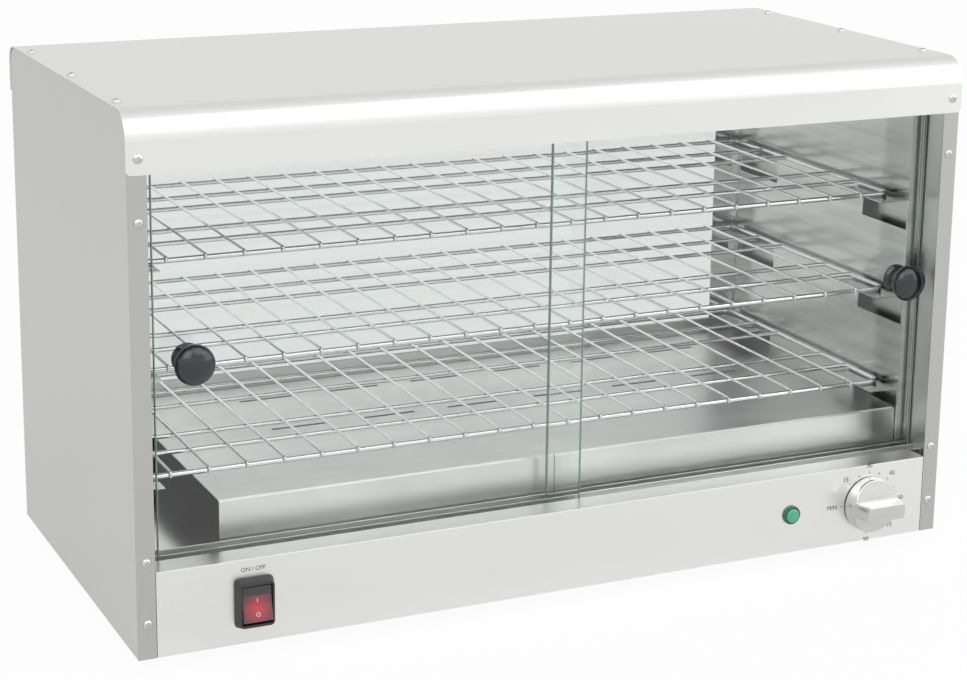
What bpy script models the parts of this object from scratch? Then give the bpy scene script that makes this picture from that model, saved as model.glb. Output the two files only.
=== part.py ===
"""Heated counter-top display cabinet with sliding glass doors, three wire shelves and a boxed heating element.

Metres, +Z up. The front faces -Y. All pieces hang from one empty that stands at the case's front lower edge,
halfway across, so each piece is placed by its distance from the middle (X), from the front (Y) and from the
underside of the case (Z). The four feet reach down to Z = 0 in the world.
"""

import math

import bmesh
import bpy
from mathutils import Matrix, Vector

# General fits
SEAT = 0.0003
CUT_OVERRUN = 0.002
WELD_DISTANCE = 0.000001
ROUND_STEPS = 24
SMALL_ROUND_STEPS = 16
SMOOTH_ANGLE = math.radians(35)

# Case
CASE_WIDTH = 0.753
CASE_DEPTH = 0.360
CASE_HEIGHT = 0.435
COVER_OVERHANG = 0.001
SHEET = 0.0012

# Top cover, with its rolled front edge and the valance below it
COVER_SHEET = 0.001
VALANCE_DROP = 0.048
REAR_LIP_DROP = 0.040
FRONT_ROLL = 0.022
REAR_ROLL = 0.015
VALANCE_CORNER = 0.004
ROLL_SEGMENTS = 8

# Side panels: folded trays whose front flanges are the stiles
STILE_WIDTH = 0.0152

# Front fascia
FASCIA_HEIGHT = 0.071
FASCIA_RETURN = 0.012
LEDGE_DEPTH = 0.0237
LEDGE_CORNER = 0.008
CORNER_SEGMENTS = 5

# Base pan and feet
PAN_RIM = 0.015
FOOT_HEIGHT = 0.012
FOOT_RADIUS = 0.0125
FOOT_TOP_RADIUS = 0.015
FOOT_EDGE = 0.0015
FOOT_INSET_X = 0.055
FOOT_INSET_Y = 0.050

# Chamber: liners with punched flaps, floor and ceiling
LINER_WALL = 0.0105
LINER_SHEET = 0.0008
LINER_BOTTOM = 0.030
LINER_TOP_DROP = 0.023
FLAP_REACH = 0.028
FLAP_LENGTH = 0.070
FLAP_BACK_SET = 0.0025
FLOOR_TOP = 0.060
FLOOR_FRONT_FLANGE = 0.010
CEILING_DROP = 0.030
CEILING_FRONT_CLEAR = 0.002
CEILING_REAR_CLEAR = 0.001

# Door tracks
TRACK_WALL = 0.0012
TRACK_BASE = 0.0015
TRACK_RIB_HEIGHT = 0.0095
TOP_TRACK_RIB_HEIGHT = 0.0165
OUTER_GROOVE = 0.0121
INNER_GROOVE = 0.0108

# Sliding glass doors
GLASS = 0.004
GLASS_CHAMFER = 0.0004
DOOR_TOP_PLAY = 0.006
DOOR_CLOSED_OVERLAP = 0.002
LEFT_DOOR_SET_IN = 0.0245
DOOR_SIDE_GAP = 0.0005
GLASS_HOLE_RADIUS = 0.0033

# Door knobs
KNOB_LENGTH = 0.031
KNOB_HEAD_RADIUS = 0.0165
KNOB_NECK_RADIUS = 0.0095
KNOB_BASE_RADIUS = 0.0125
KNOB_BASE_LENGTH = 0.002
KNOB_HEAD_LENGTH = 0.019
KNOB_EDGE_INSET = 0.026
LEFT_KNOB_HEIGHT = 0.233
RIGHT_KNOB_HEIGHT = 0.230
KNOB_SOCKET_DEPTH = 0.013
SCREW_RADIUS = 0.0024
SCREW_HEAD_RADIUS = 0.0055
SCREW_HEAD_LENGTH = 0.0022
SCREW_LENGTH = 0.012

# Wire shelves
SHELF_SIDE_PLAY = 0.0032
SHELF_REAR_PLAY = 0.0082
SHELF_FRONT = 0.076
FRAME_WIRE = 0.00225
LONG_WIRE = 0.0020
CROSS_WIRE = 0.00125
WELD_BITE = 0.0003
SHELF_CORNER = 0.010
CROSS_SPACES = 22
CROSS_TIP_DROP = 0.0045
CROSS_REAR_OVERHANG = 0.001
LONG_WIRE_SHARES = (0.2, 0.355, 0.645, 0.8)
BOTTOM_SHELF_Z = 0.123
SHELF_PITCH = 0.089

# Element cover: a bridge of brushed sheet with louvre slots
BRIDGE_SHEET = 0.001
BRIDGE_FRONT = 0.0555
BRIDGE_HEIGHT = 0.043
BRIDGE_LEFT_GAP = 0.0725
BRIDGE_REAR_GAP = 0.0025
BRIDGE_FOLD = 0.0015
SLOT_COUNT = 6
SLOT_LENGTH = 0.052
SLOT_WIDTH = 0.0035
SLOT_PITCH = 0.085
FIRST_SLOT_INSET = 0.1012
SLOT_ROW_SHARES = (0.545, 0.85)

# Heating element and its two clips
ELEMENT_RADIUS = 0.004
ELEMENT_Z = 0.082
ELEMENT_SPREAD = 0.150
ELEMENT_LEFT_INSET = 0.0242
ELEMENT_RIGHT_GAP = 0.040
ELEMENT_BEND_STEPS = 12
CLIP_SHEET = 0.0015
CLIP_WIDTH = 0.012
CLIP_FOOT = 0.012
CLIP_MARGIN = 0.012
CLIP_INSET = 0.070

# Rear wall
REAR_PANEL_HEIGHT = 0.106
REAR_RETURN = 0.012
REAR_GLASS = 0.003
REAR_GLASS_PLAY = 0.0042
REAR_GLASS_DROP = 0.027
CHANNEL_SHEET = 0.001
CHANNEL_HEIGHT = 0.008
UPRIGHT_WIDTH = 0.0247
UPRIGHT_RETURN = 0.006

# Switch
SWITCH_FROM_LEFT = 0.0965
SWITCH_Z = 0.0348
BEZEL_WIDTH = 0.033
BEZEL_HEIGHT = 0.0415
BEZEL_PROUD = 0.009
BEZEL_TAPER = 0.0022
BEZEL_CORNER = 0.004
POCKET_WIDTH = 0.0258
POCKET_HEIGHT = 0.0330
POCKET_DEPTH = 0.016
SWITCH_BODY_WIDTH = 0.0285
SWITCH_BODY_HEIGHT = 0.0365
SWITCH_BODY_DEPTH = 0.022
ROCKER_WIDTH = 0.0250
ROCKER_HALF_HEIGHT = 0.0145
ROCKER_FRONT = 0.0055
ROCKER_VALLEY = 0.0042
ROCKER_HEEL = 0.0060
ROCKER_HEEL_HALF_HEIGHT = 0.009
ROCKER_PIVOT_PROUD = 0.004
ROCKER_EDGE = 0.0008
ROCKER_TILT = math.radians(9)

# Pilot lamp
LAMP_FROM_RIGHT = 0.1555
LAMP_Z = 0.0353
LAMP_RIM_RADIUS = 0.008
LAMP_RIM_PROUD = 0.0018
LAMP_BARREL_RADIUS = 0.0055
LAMP_LENS_RADIUS = 0.0062
LAMP_LENS_PROUD = 0.0042
LAMP_LENS_SEAT_DEPTH = 0.0010
LAMP_LENS_EDGE = 0.0016
LAMP_NUT_RADIUS = 0.0085
LAMP_NUT_LENGTH = 0.003
LAMP_LENGTH = 0.020

# Thermostat
DIAL_FROM_RIGHT = 0.0747
DIAL_Z = 0.0354
DIAL_RADIUS = 0.025
DIAL_FRONT_RADIUS = 0.0195
DIAL_CLEAR = 0.001
DIAL_LENGTH = 0.030
DIAL_SKIRT_LENGTH = 0.007
DIAL_EDGE = 0.0012
GRIP_HALF_THICKNESS = 0.0068
GRIP_DEPTH = 0.016
GRIP_SCOOP_DEPTH = 0.006
DIAL_SOCKET_DEPTH = 0.015
SHAFT_RADIUS = 0.003
SHAFT_LENGTH = 0.022
BUSH_RADIUS = 0.005
BUSH_PROUD = 0.0002
BUSH_BORE_DEPTH = 0.011
STAT_RADIUS = 0.018
STAT_LENGTH = 0.020
CAPILLARY_RADIUS = 0.0009
BULB_RADIUS = 0.003
BULB_LENGTH = 0.080
BULB_NECK = 0.003
CAPILLARY_STEP = 0.010
CAPILLARY_HOLE_RADIUS = 0.004
CAPILLARY_HOLE_SET_BACK = 0.022
BULB_Z = 0.094

# Wiring and cord entry
TERMINAL_LENGTH = 0.048
TERMINAL_WIDTH = 0.018
TERMINAL_HEIGHT = 0.016
TERMINAL_EDGE = 0.001
TERMINAL_SET_IN = 0.090
GLAND_FROM_LEFT = 0.090
GLAND_Z = 0.036
GLAND_COLLAR_RADIUS = 0.0125
GLAND_COLLAR_LENGTH = 0.009
GLAND_NOSE_RADIUS = 0.0085
GLAND_NOSE_LENGTH = 0.009
GLAND_SHANK_RADIUS = 0.008
GLAND_NUT_LENGTH = 0.006
GLAND_BORE_RADIUS = 0.0042

# Places that follow from the sizes above
HALF_WIDTH = CASE_WIDTH / 2
PANEL_X = HALF_WIDTH - COVER_OVERHANG
FRONT_Y = COVER_SHEET + SEAT
REAR_Y = CASE_DEPTH - COVER_SHEET - SEAT
PANEL_TOP = CASE_HEIGHT - COVER_SHEET - SEAT
FASCIA_X = PANEL_X - STILE_WIDTH - SEAT
BEHIND_PANEL_X = PANEL_X - SHEET - SEAT
BEHIND_FRONT_Y = FRONT_Y + SHEET + SEAT
BEHIND_REAR_Y = REAR_Y - SHEET - SEAT
LINER_X = BEHIND_PANEL_X - LINER_WALL
CHAMBER_X = LINER_X - SEAT
LINER_TOP = CASE_HEIGHT - LINER_TOP_DROP
CEILING_Z = CASE_HEIGHT - CEILING_DROP
REAR_GLASS_TOP = CASE_HEIGHT - REAR_GLASS_DROP
REAR_GLASS_HALF_WIDTH = CHAMBER_X - REAR_GLASS_PLAY
LEDGE_REAR_Y = FRONT_Y + LEDGE_DEPTH
TRACK_FRONT_Y = LEDGE_REAR_Y + 2 * SEAT
OUTER_GROOVE_Y = TRACK_FRONT_Y + TRACK_WALL
INNER_GROOVE_Y = OUTER_GROOVE_Y + OUTER_GROOVE + TRACK_WALL
TRACK_REAR_Y = INNER_GROOVE_Y + INNER_GROOVE + TRACK_WALL
TRACK_Z = FLOOR_TOP + SEAT
TOP_TRACK_Z = CEILING_Z - SEAT
DOOR_BOTTOM = TRACK_Z + TRACK_BASE + SEAT
DOOR_TOP = TOP_TRACK_Z - TRACK_BASE - DOOR_TOP_PLAY
DOOR_REACH = BEHIND_PANEL_X - DOOR_SIDE_GAP
DOOR_WIDTH = DOOR_REACH + DOOR_CLOSED_OVERLAP / 2
LEFT_DOOR_Y = OUTER_GROOVE_Y + OUTER_GROOVE / 2
RIGHT_DOOR_Y = INNER_GROOVE_Y + INNER_GROOVE / 2
SWITCH_PLACE_X = SWITCH_FROM_LEFT - HALF_WIDTH
LAMP_PLACE_X = HALF_WIDTH - LAMP_FROM_RIGHT
DIAL_PLACE_X = HALF_WIDTH - DIAL_FROM_RIGHT
REAR_GLASS_Y = BEHIND_REAR_Y - REAR_GLASS
REAR_PANEL_FRONT_Y = REAR_Y - REAR_RETURN
FLOOR_REAR_Y = REAR_PANEL_FRONT_Y - SEAT
GLAND_REAR_Y = REAR_Y + SEAT + GLAND_COLLAR_LENGTH + GLAND_NOSE_LENGTH
KNOB_FRONT_Y = FRONT_Y - DIAL_CLEAR - DIAL_LENGTH
MIDDLE_SHELF_Z = BOTTOM_SHELF_Z + SHELF_PITCH
TOP_SHELF_Z = MIDDLE_SHELF_Z + SHELF_PITCH
SHELF_LEVELS = (TOP_SHELF_Z, MIDDLE_SHELF_Z, BOTTOM_SHELF_Z)
SHELF_LENGTH = 2 * (CHAMBER_X - SHELF_SIDE_PLAY)
SHELF_DEPTH = REAR_GLASS_Y - SHELF_REAR_PLAY - SHELF_FRONT
FLAP_FRONT_Y = TRACK_REAR_Y + FLAP_BACK_SET
FLAP_REAR_Y = FLOOR_REAR_Y - FLAP_BACK_SET - FLAP_LENGTH

# Start from an empty scene
for old in list(bpy.data.objects):
    bpy.data.objects.remove(old, do_unlink=True)

parts = bpy.data.collections.new("cake_display_cabinet")
cutters = bpy.data.collections.new("cutters")
bpy.context.scene.collection.children.link(parts)
bpy.context.scene.collection.children.link(cutters)

case_origin = bpy.data.objects.new("case_origin", None)
case_origin.location = (0, -(KNOB_FRONT_Y + GLAND_REAR_Y) / 2, FOOT_HEIGHT)
parts.objects.link(case_origin)


# Materials
def material(name, colour, roughness, metallic, transmission=0):
    """A Principled material."""
    made = bpy.data.materials.new(name)
    made.use_nodes = True
    shader = made.node_tree.nodes["Principled BSDF"]
    shader.inputs["Base Color"].default_value = (*colour, 1)
    shader.inputs["Roughness"].default_value = roughness
    shader.inputs["Metallic"].default_value = metallic
    shader.inputs["Transmission Weight"].default_value = transmission
    return made


satin_steel = material("satin_stainless", (0.62, 0.62, 0.61), 0.34, 1)
polished_steel = material("polished_stainless", (0.68, 0.68, 0.67), 0.16, 1)
brushed_steel = material("brushed_stainless", (0.56, 0.56, 0.55), 0.30, 1)
track_metal = material("track_aluminium", (0.60, 0.60, 0.60), 0.35, 1)
chrome = material("chromed_wire", (0.80, 0.80, 0.81), 0.10, 1)
clear_glass = material("door_glass", (0.86, 0.95, 0.92), 0.03, 0, 1)
black_knob = material("black_phenolic", (0.018, 0.020, 0.024), 0.22, 0)
black_plastic = material("black_plastic", (0.035, 0.035, 0.036), 0.45, 0)
red_plastic = material("red_translucent", (0.42, 0.03, 0.05), 0.25, 0, 0.3)
green_plastic = material("green_translucent", (0.04, 0.42, 0.24), 0.25, 0, 0.3)
knob_metal = material("brushed_chrome", (0.72, 0.72, 0.72), 0.22, 1)
element_metal = material("element_sheath", (0.16, 0.15, 0.14), 0.42, 1)
zinc = material("zinc_plate", (0.55, 0.55, 0.54), 0.40, 1)
copper = material("capillary_copper", (0.62, 0.34, 0.20), 0.32, 1)
foot_rubber = material("foot_rubber", (0.030, 0.030, 0.030), 0.70, 0)


# Making of objects
def place(name, mesh, location, finish, smooth=False):
    """An object of the cabinet, hung from the case's origin."""
    made = bpy.data.objects.new(name, mesh)
    made.parent = case_origin
    made.location = location
    if finish:
        mesh.materials.append(finish)
    if smooth:
        mesh.shade_smooth()
        mesh.set_sharp_from_angle(angle=SMOOTH_ANGLE)
    parts.objects.link(made)
    return made


def as_cutter(thing):
    """Moves an object to the cutters, where it shows as a wire outline only."""
    parts.objects.unlink(thing)
    cutters.objects.link(thing)
    thing.hide_render = True
    thing.display_type = "WIRE"
    return thing


def to_mesh(bm, name):
    """The mesh of a finished bmesh."""
    mesh = bpy.data.meshes.new(name)
    bm.to_mesh(mesh)
    bm.free()
    return mesh


def add_box(bm, low, high):
    """A box between two opposite corners, added to a bmesh."""
    low, high = Vector(low), Vector(high)
    made = bmesh.ops.create_cube(bm, size=1)
    size = high - low
    bmesh.ops.scale(bm, vec=size, verts=made["verts"])
    bmesh.ops.translate(bm, vec=(low + high) / 2, verts=made["verts"])
    return made["verts"]


def boxes(name, corners, finish=None):
    """One object made of separate boxes, each given as (low, high)."""
    bm = bmesh.new()
    for low, high in corners:
        add_box(bm, low, high)
    return place(name, to_mesh(bm, name), (0, 0, 0), finish)


def block(name, low, high, finish, edge=0):
    """A solid block with its origin at its centre and its edges chamfered round."""
    low, high = Vector(low), Vector(high)
    bm = bmesh.new()
    add_box(bm, (low - high) / 2, (high - low) / 2)
    made = place(name, to_mesh(bm, name), (low + high) / 2, finish)
    if edge:
        round_edges(made, edge, 1)
    return made


def round_edges(thing, width, segments):
    """A Bevel modifier on all edges sharper than its angle limit."""
    bevel = thing.modifiers.new("round_edges", "BEVEL")
    bevel.width = width
    bevel.segments = segments
    bevel.limit_method = "ANGLE"
    return bevel


def boolean(thing, other, operation, name):
    """A Boolean modifier with another object, which becomes a helper."""
    if other.name in parts.objects:
        as_cutter(other)
    made = thing.modifiers.new(name, "BOOLEAN")
    made.operation = operation
    made.object = other
    return made


def thicken(thing, sheet):
    """Gives an open surface its sheet thickness, inward from its outer face."""
    made = thing.modifiers.new("sheet", "SOLIDIFY")
    made.thickness = sheet
    made.offset = -1
    made.use_even_offset = True
    return made


def edges_at(bm, test):
    """The edges of which both ends pass the test."""
    return [e for e in bm.edges if all(test(v.co) for v in e.verts)]


def near(value, other):
    """Whether two places are the same within the weld distance."""
    return abs(value - other) < WELD_DISTANCE


def tray(name, low, high, open_axis, open_end, sheet, finish, rounded=()):
    """A folded tray: a box with one side left open, bent edges rounded where asked, and the sheet's thickness.

    rounded holds (test, radius) pairs, each for the edges whose ends pass the test.
    """
    bm = bmesh.new()
    add_box(bm, low, high)
    for test, radius in rounded:
        bmesh.ops.bevel(
            bm,
            geom=edges_at(bm, test),
            offset=radius,
            segments=ROLL_SEGMENTS,
            profile=0.5,
            affect="EDGES",
        )
    gone = [f for f in bm.faces if all(near(v.co[open_axis], open_end) for v in f.verts)]
    bmesh.ops.delete(bm, geom=gone, context="FACES_ONLY")
    made = place(name, to_mesh(bm, name), (0, 0, 0), finish)
    thicken(made, sheet)
    return made


def outline(name, points, length, finish):
    """A flat outline as a filled 2D curve, given half its thickness each way, then made a mesh."""
    curve = bpy.data.curves.new(name, "CURVE")
    curve.dimensions = "2D"
    curve.fill_mode = "BOTH"
    curve.extrude = length / 2
    spline = curve.splines.new("POLY")
    spline.points.add(len(points) - 1)
    for point, (a, b) in zip(spline.points, points):
        point.co = (a, b, 0, 1)
    spline.use_cyclic_u = True
    return welded(name, curve, finish)


def welded(name, curve, finish):
    """The closed mesh of a curve, with its loose caps joined on."""
    source = bpy.data.objects.new(name + "_curve", curve)
    parts.objects.link(source)
    graph = bpy.context.evaluated_depsgraph_get()
    mesh = bpy.data.meshes.new_from_object(source.evaluated_get(graph))
    matrix = source.matrix_world.copy()
    bpy.data.objects.remove(source, do_unlink=True)
    bm = bmesh.new()
    bm.from_mesh(mesh)
    bmesh.ops.remove_doubles(bm, verts=bm.verts, dist=WELD_DISTANCE)
    bmesh.ops.recalc_face_normals(bm, faces=bm.faces)
    bm.to_mesh(mesh)
    bm.free()
    mesh.materials.clear()
    made = place(name, mesh, (0, 0, 0), finish)
    made.matrix_local = matrix
    return made


def section(name, points, start, length, finish):
    """A section given in (Y, Z), run along X from start for its length."""
    made = outline(name, points, length, finish)
    # The outline's own axes turn so that its first runs along Y, its second along Z and its depth along X.
    turn = Matrix(((0, 0, 1), (1, 0, 0), (0, 1, 0))).to_4x4()
    made.data.transform(turn)
    made.location = (start + length / 2, 0, 0)
    return made


def strip(name, points, axis, start, length, sheet, finish):
    """A folded strip of sheet: an open run of points, swept along X (0) or Z (2), with the sheet's thickness.

    The points are (Y, Z) for a sweep along X and (X, Y) for one along Z. With the first of the pair to the
    right and the second up, the sheet's thickness lies on the right of the run.
    """
    bm = bmesh.new()
    across = [(0, a, b) if axis == 0 else (a, b, 0) for a, b in points]
    verts = [bm.verts.new(p) for p in across]
    chain = [bm.edges.new(pair) for pair in zip(verts, verts[1:])]
    swept = bmesh.ops.extrude_edge_only(bm, edges=chain)
    moved = [v for v in swept["geom"] if isinstance(v, bmesh.types.BMVert)]
    along = Vector((length, 0, 0)) if axis == 0 else Vector((0, 0, length))
    bmesh.ops.translate(bm, vec=along, verts=moved)
    location = (start, 0, 0) if axis == 0 else (0, 0, start)
    made = place(name, to_mesh(bm, name), location, finish)
    thicken(made, sheet)
    return made


def turned(name, profile, location, finish, steps=ROUND_STEPS):
    """A turned piece whose axis points forward, along -Y.

    The profile lists (radius, distance in front of the location), from the front, down the outer side, to the
    rear. A Screw modifier turns it about the object's Z axis, which is laid over onto -Y.
    """
    bm = bmesh.new()
    verts = [bm.verts.new((r, 0, d)) for r, d in profile]
    for pair in zip(verts, verts[1:]):
        bm.edges.new(pair)
    made = place(name, to_mesh(bm, name), location, finish)
    made.rotation_euler = (math.pi / 2, 0, 0)
    screw = made.modifiers.new("turn", "SCREW")
    screw.axis = "Z"
    screw.steps = steps
    screw.render_steps = steps
    screw.use_merge_vertices = True
    screw.merge_threshold = WELD_DISTANCE
    screw.use_smooth_shade = True
    return made


def wires(name, runs, radius, sides_resolution, finish, cyclic=False, radii=None):
    """Round wires, each a run of points, as one welded mesh."""
    curve = bpy.data.curves.new(name, "CURVE")
    curve.dimensions = "3D"
    curve.bevel_depth = radius
    curve.bevel_resolution = sides_resolution
    curve.use_fill_caps = not cyclic
    for run in runs:
        spline = curve.splines.new("POLY")
        spline.points.add(len(run) - 1)
        for index, (point, place_at) in enumerate(zip(spline.points, run)):
            point.co = (*place_at, 1)
            if radii:
                point.radius = radii[index]
        spline.use_cyclic_u = cyclic
    return welded(name, curve, finish)


def arc(centre, radius, start, end, steps):
    """Points (a, b) along an arc, angles in radians."""
    turn = (end - start) / steps
    return [
        (centre[0] + radius * math.cos(start + turn * k), centre[1] + radius * math.sin(start + turn * k))
        for k in range(steps + 1)
    ]


# Top cover
bm = bmesh.new()
add_box(bm, (-HALF_WIDTH, 0, CASE_HEIGHT - VALANCE_DROP), (HALF_WIDTH, CASE_DEPTH, CASE_HEIGHT))
for y, roll in ((0, FRONT_ROLL), (CASE_DEPTH, REAR_ROLL)):
    top_edge = edges_at(bm, lambda p, y=y: near(p.y, y) and near(p.z, CASE_HEIGHT))
    bmesh.ops.bevel(bm, geom=top_edge, offset=roll, segments=ROLL_SEGMENTS, profile=0.5, affect="EDGES")
ends = [f for f in bm.faces if near(abs(f.normal.x), 1) or near(f.normal.z, -1)]
bmesh.ops.delete(bm, geom=ends, context="FACES_ONLY")
loose = [e for e in bm.edges if not e.link_faces]
bmesh.ops.delete(bm, geom=loose, context="EDGES")
for v in bm.verts:
    if near(v.co.y, CASE_DEPTH) and near(v.co.z, CASE_HEIGHT - VALANCE_DROP):
        v.co.z = CASE_HEIGHT - REAR_LIP_DROP
corners = [v for v in bm.verts if near(v.co.y, 0) and near(v.co.z, CASE_HEIGHT - VALANCE_DROP)]
bmesh.ops.bevel(
    bm, geom=corners, offset=VALANCE_CORNER, segments=CORNER_SEGMENTS, profile=0.5, affect="VERTICES"
)
top_cover = place("top_cover", to_mesh(bm, "top_cover"), (0, 0, 0), satin_steel, smooth=True)
thicken(top_cover, COVER_SHEET)

# Side panels
for side, name in ((-1, "left_side_panel"), (1, "right_side_panel")):
    inner, outer = side * (PANEL_X - STILE_WIDTH), side * PANEL_X
    tray(
        name,
        (min(inner, outer), FRONT_Y, 0),
        (max(inner, outer), REAR_Y, PANEL_TOP),
        0,
        inner,
        SHEET,
        satin_steel,
        (
            (lambda p: near(p.y, FRONT_Y) and near(p.z, PANEL_TOP), FRONT_ROLL - FRONT_Y),
            (lambda p: near(p.y, REAR_Y) and near(p.z, PANEL_TOP), REAR_ROLL - FRONT_Y),
        ),
    )

# Front fascia, with its ledge carried back to the door track
bm = bmesh.new()
add_box(bm, (-FASCIA_X, FRONT_Y, 0), (FASCIA_X, FRONT_Y + FASCIA_RETURN, FASCIA_HEIGHT))
back = [f for f in bm.faces if near(f.normal.y, 1)]
bmesh.ops.delete(bm, geom=back, context="FACES_ONLY")
rear_edge = edges_at(bm, lambda p: near(p.z, FASCIA_HEIGHT) and near(p.y, FRONT_Y + FASCIA_RETURN))
grown = bmesh.ops.extrude_edge_only(bm, edges=rear_edge)
ledge_verts = [v for v in grown["geom"] if isinstance(v, bmesh.types.BMVert)]
bmesh.ops.translate(bm, vec=(0, LEDGE_DEPTH - FASCIA_RETURN, 0), verts=ledge_verts)
bmesh.ops.bevel(
    bm, geom=ledge_verts, offset=LEDGE_CORNER, segments=CORNER_SEGMENTS, profile=0.5, affect="VERTICES"
)
fascia = place("front_fascia", to_mesh(bm, "front_fascia"), (0, 0, 0), satin_steel)
thicken(fascia, SHEET)
cut_y = (FRONT_Y - CUT_OVERRUN, FRONT_Y + SHEET + CUT_OVERRUN)
switch_hole = boxes(
    "switch_cut_out",
    [
        (
            (
                SWITCH_PLACE_X - SWITCH_BODY_WIDTH / 2 - SEAT,
                cut_y[0],
                SWITCH_Z - SWITCH_BODY_HEIGHT / 2 - SEAT,
            ),
            (
                SWITCH_PLACE_X + SWITCH_BODY_WIDTH / 2 + SEAT,
                cut_y[1],
                SWITCH_Z + SWITCH_BODY_HEIGHT / 2 + SEAT,
            ),
        )
    ],
)
boolean(fascia, switch_hole, "DIFFERENCE", "switch_cut_out")


def drill(name, x, y, z, radius, length):
    """A round cutter along Y, centred on the given place."""
    bm = bmesh.new()
    bmesh.ops.create_cone(
        bm, cap_ends=True, segments=SMALL_ROUND_STEPS, radius1=radius, radius2=radius, depth=length
    )
    made = place(name, to_mesh(bm, name), (x, y, z), None)
    made.rotation_euler = (math.pi / 2, 0, 0)
    return as_cutter(made)


hole_length = SHEET + 2 * CUT_OVERRUN
hole_y = FRONT_Y + SHEET / 2
lamp_hole = drill("lamp_hole", LAMP_PLACE_X, hole_y, LAMP_Z, LAMP_BARREL_RADIUS + SEAT, hole_length)
boolean(fascia, lamp_hole, "DIFFERENCE", "lamp_hole")
dial_hole = drill("dial_hole", DIAL_PLACE_X, hole_y, DIAL_Z, BUSH_RADIUS + SEAT, hole_length)
boolean(fascia, dial_hole, "DIFFERENCE", "dial_hole")

# Base pan, resting on the lower flanges of the side panels
PAN_Z = SHEET + SEAT
PAN_FRONT_Y = FRONT_Y + FASCIA_RETURN + SEAT
PAN_REAR_Y = REAR_PANEL_FRONT_Y - SEAT
tray(
    "base_pan",
    (-BEHIND_PANEL_X, PAN_FRONT_Y, PAN_Z),
    (BEHIND_PANEL_X, PAN_REAR_Y, PAN_Z + PAN_RIM),
    2,
    PAN_Z + PAN_RIM,
    SHEET,
    satin_steel,
)

# Feet
foot_profile = (
    (0, PAN_Z - SEAT),
    (FOOT_TOP_RADIUS, PAN_Z - SEAT),
    (FOOT_TOP_RADIUS, PAN_Z - SEAT - FOOT_EDGE),
    (FOOT_RADIUS, -FOOT_HEIGHT + FOOT_EDGE),
    (FOOT_RADIUS - FOOT_EDGE, -FOOT_HEIGHT),
    (0, -FOOT_HEIGHT),
)
for side_x, side_name in ((-1, "left"), (1, "right")):
    for foot_y, end_name in ((FOOT_INSET_Y, "front"), (CASE_DEPTH - FOOT_INSET_Y, "rear")):
        foot = turned(
            end_name + "_" + side_name + "_foot",
            foot_profile,
            (side_x * (HALF_WIDTH - FOOT_INSET_X), foot_y, 0),
            foot_rubber,
            SMALL_ROUND_STEPS,
        )
        foot.rotation_euler = (0, 0, 0)

# Liners with windows, whose metal is folded in as flaps that carry the shelves
for side, name in ((-1, "left_liner"), (1, "right_liner")):
    near_x, far_x = side * LINER_X, side * BEHIND_PANEL_X
    liner = tray(
        name,
        (min(near_x, far_x), TRACK_REAR_Y + SEAT, LINER_BOTTOM),
        (max(near_x, far_x), BEHIND_REAR_Y, LINER_TOP),
        0,
        far_x,
        LINER_SHEET,
        polished_steel,
    )
    flaps, windows = [], []
    for level in SHELF_LEVELS:
        flap_top = level - FRAME_WIRE - SEAT
        window_top = flap_top - LINER_SHEET - LINER_SHEET / 2
        for flap_y in (FLAP_FRONT_Y, FLAP_REAR_Y):
            tip, root = side * (LINER_X - FLAP_REACH), side * (LINER_X + LINER_SHEET / 2)
            flaps.append(
                (
                    (min(tip, root), flap_y, flap_top - LINER_SHEET),
                    (max(tip, root), flap_y + FLAP_LENGTH, flap_top),
                )
            )
            through, clear = side * (LINER_X + LINER_SHEET + CUT_OVERRUN), side * (LINER_X - CUT_OVERRUN)
            windows.append(
                (
                    (min(through, clear), flap_y, flap_top - FLAP_REACH),
                    (max(through, clear), flap_y + FLAP_LENGTH, window_top),
                )
            )
    boolean(liner, boxes(name + "_flaps", flaps), "UNION", "flaps")
    boolean(liner, boxes(name + "_windows", windows), "DIFFERENCE", "windows")

# Cabinet floor, turned down at the front and up at the rear
REAR_WALL_TOP = REAR_PANEL_HEIGHT - SHEET - SEAT
cabinet_floor = strip(
    "cabinet_floor",
    (
        (TRACK_FRONT_Y, FLOOR_TOP - FLOOR_FRONT_FLANGE),
        (TRACK_FRONT_Y, FLOOR_TOP),
        (FLOOR_REAR_Y - SHEET, FLOOR_TOP),
        (FLOOR_REAR_Y - SHEET, REAR_WALL_TOP),
    ),
    0,
    -CHAMBER_X,
    2 * CHAMBER_X,
    SHEET,
    brushed_steel,
)
CAPILLARY_X = DIAL_PLACE_X
CAPILLARY_HOLE_Y = BRIDGE_FRONT + CAPILLARY_HOLE_SET_BACK
bm = bmesh.new()
bmesh.ops.create_cone(
    bm,
    cap_ends=True,
    segments=SMALL_ROUND_STEPS,
    radius1=CAPILLARY_HOLE_RADIUS,
    radius2=CAPILLARY_HOLE_RADIUS,
    depth=hole_length,
)
capillary_hole = place(
    "capillary_hole",
    to_mesh(bm, "capillary_hole"),
    (CAPILLARY_X, CAPILLARY_HOLE_Y, FLOOR_TOP - SHEET / 2),
    None,
)
boolean(cabinet_floor, capillary_hole, "DIFFERENCE", "capillary_hole")

# Ceiling, a tray whose rim reaches up to the top flanges of the side panels
CEILING_RIM = PANEL_TOP - SHEET - SEAT
tray(
    "ceiling_liner",
    (-CHAMBER_X, FRONT_ROLL + CEILING_FRONT_CLEAR, CEILING_Z),
    (CHAMBER_X, CASE_DEPTH - REAR_ROLL - CEILING_REAR_CLEAR, CEILING_RIM),
    2,
    CEILING_RIM,
    LINER_SHEET,
    polished_steel,
)

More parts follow.
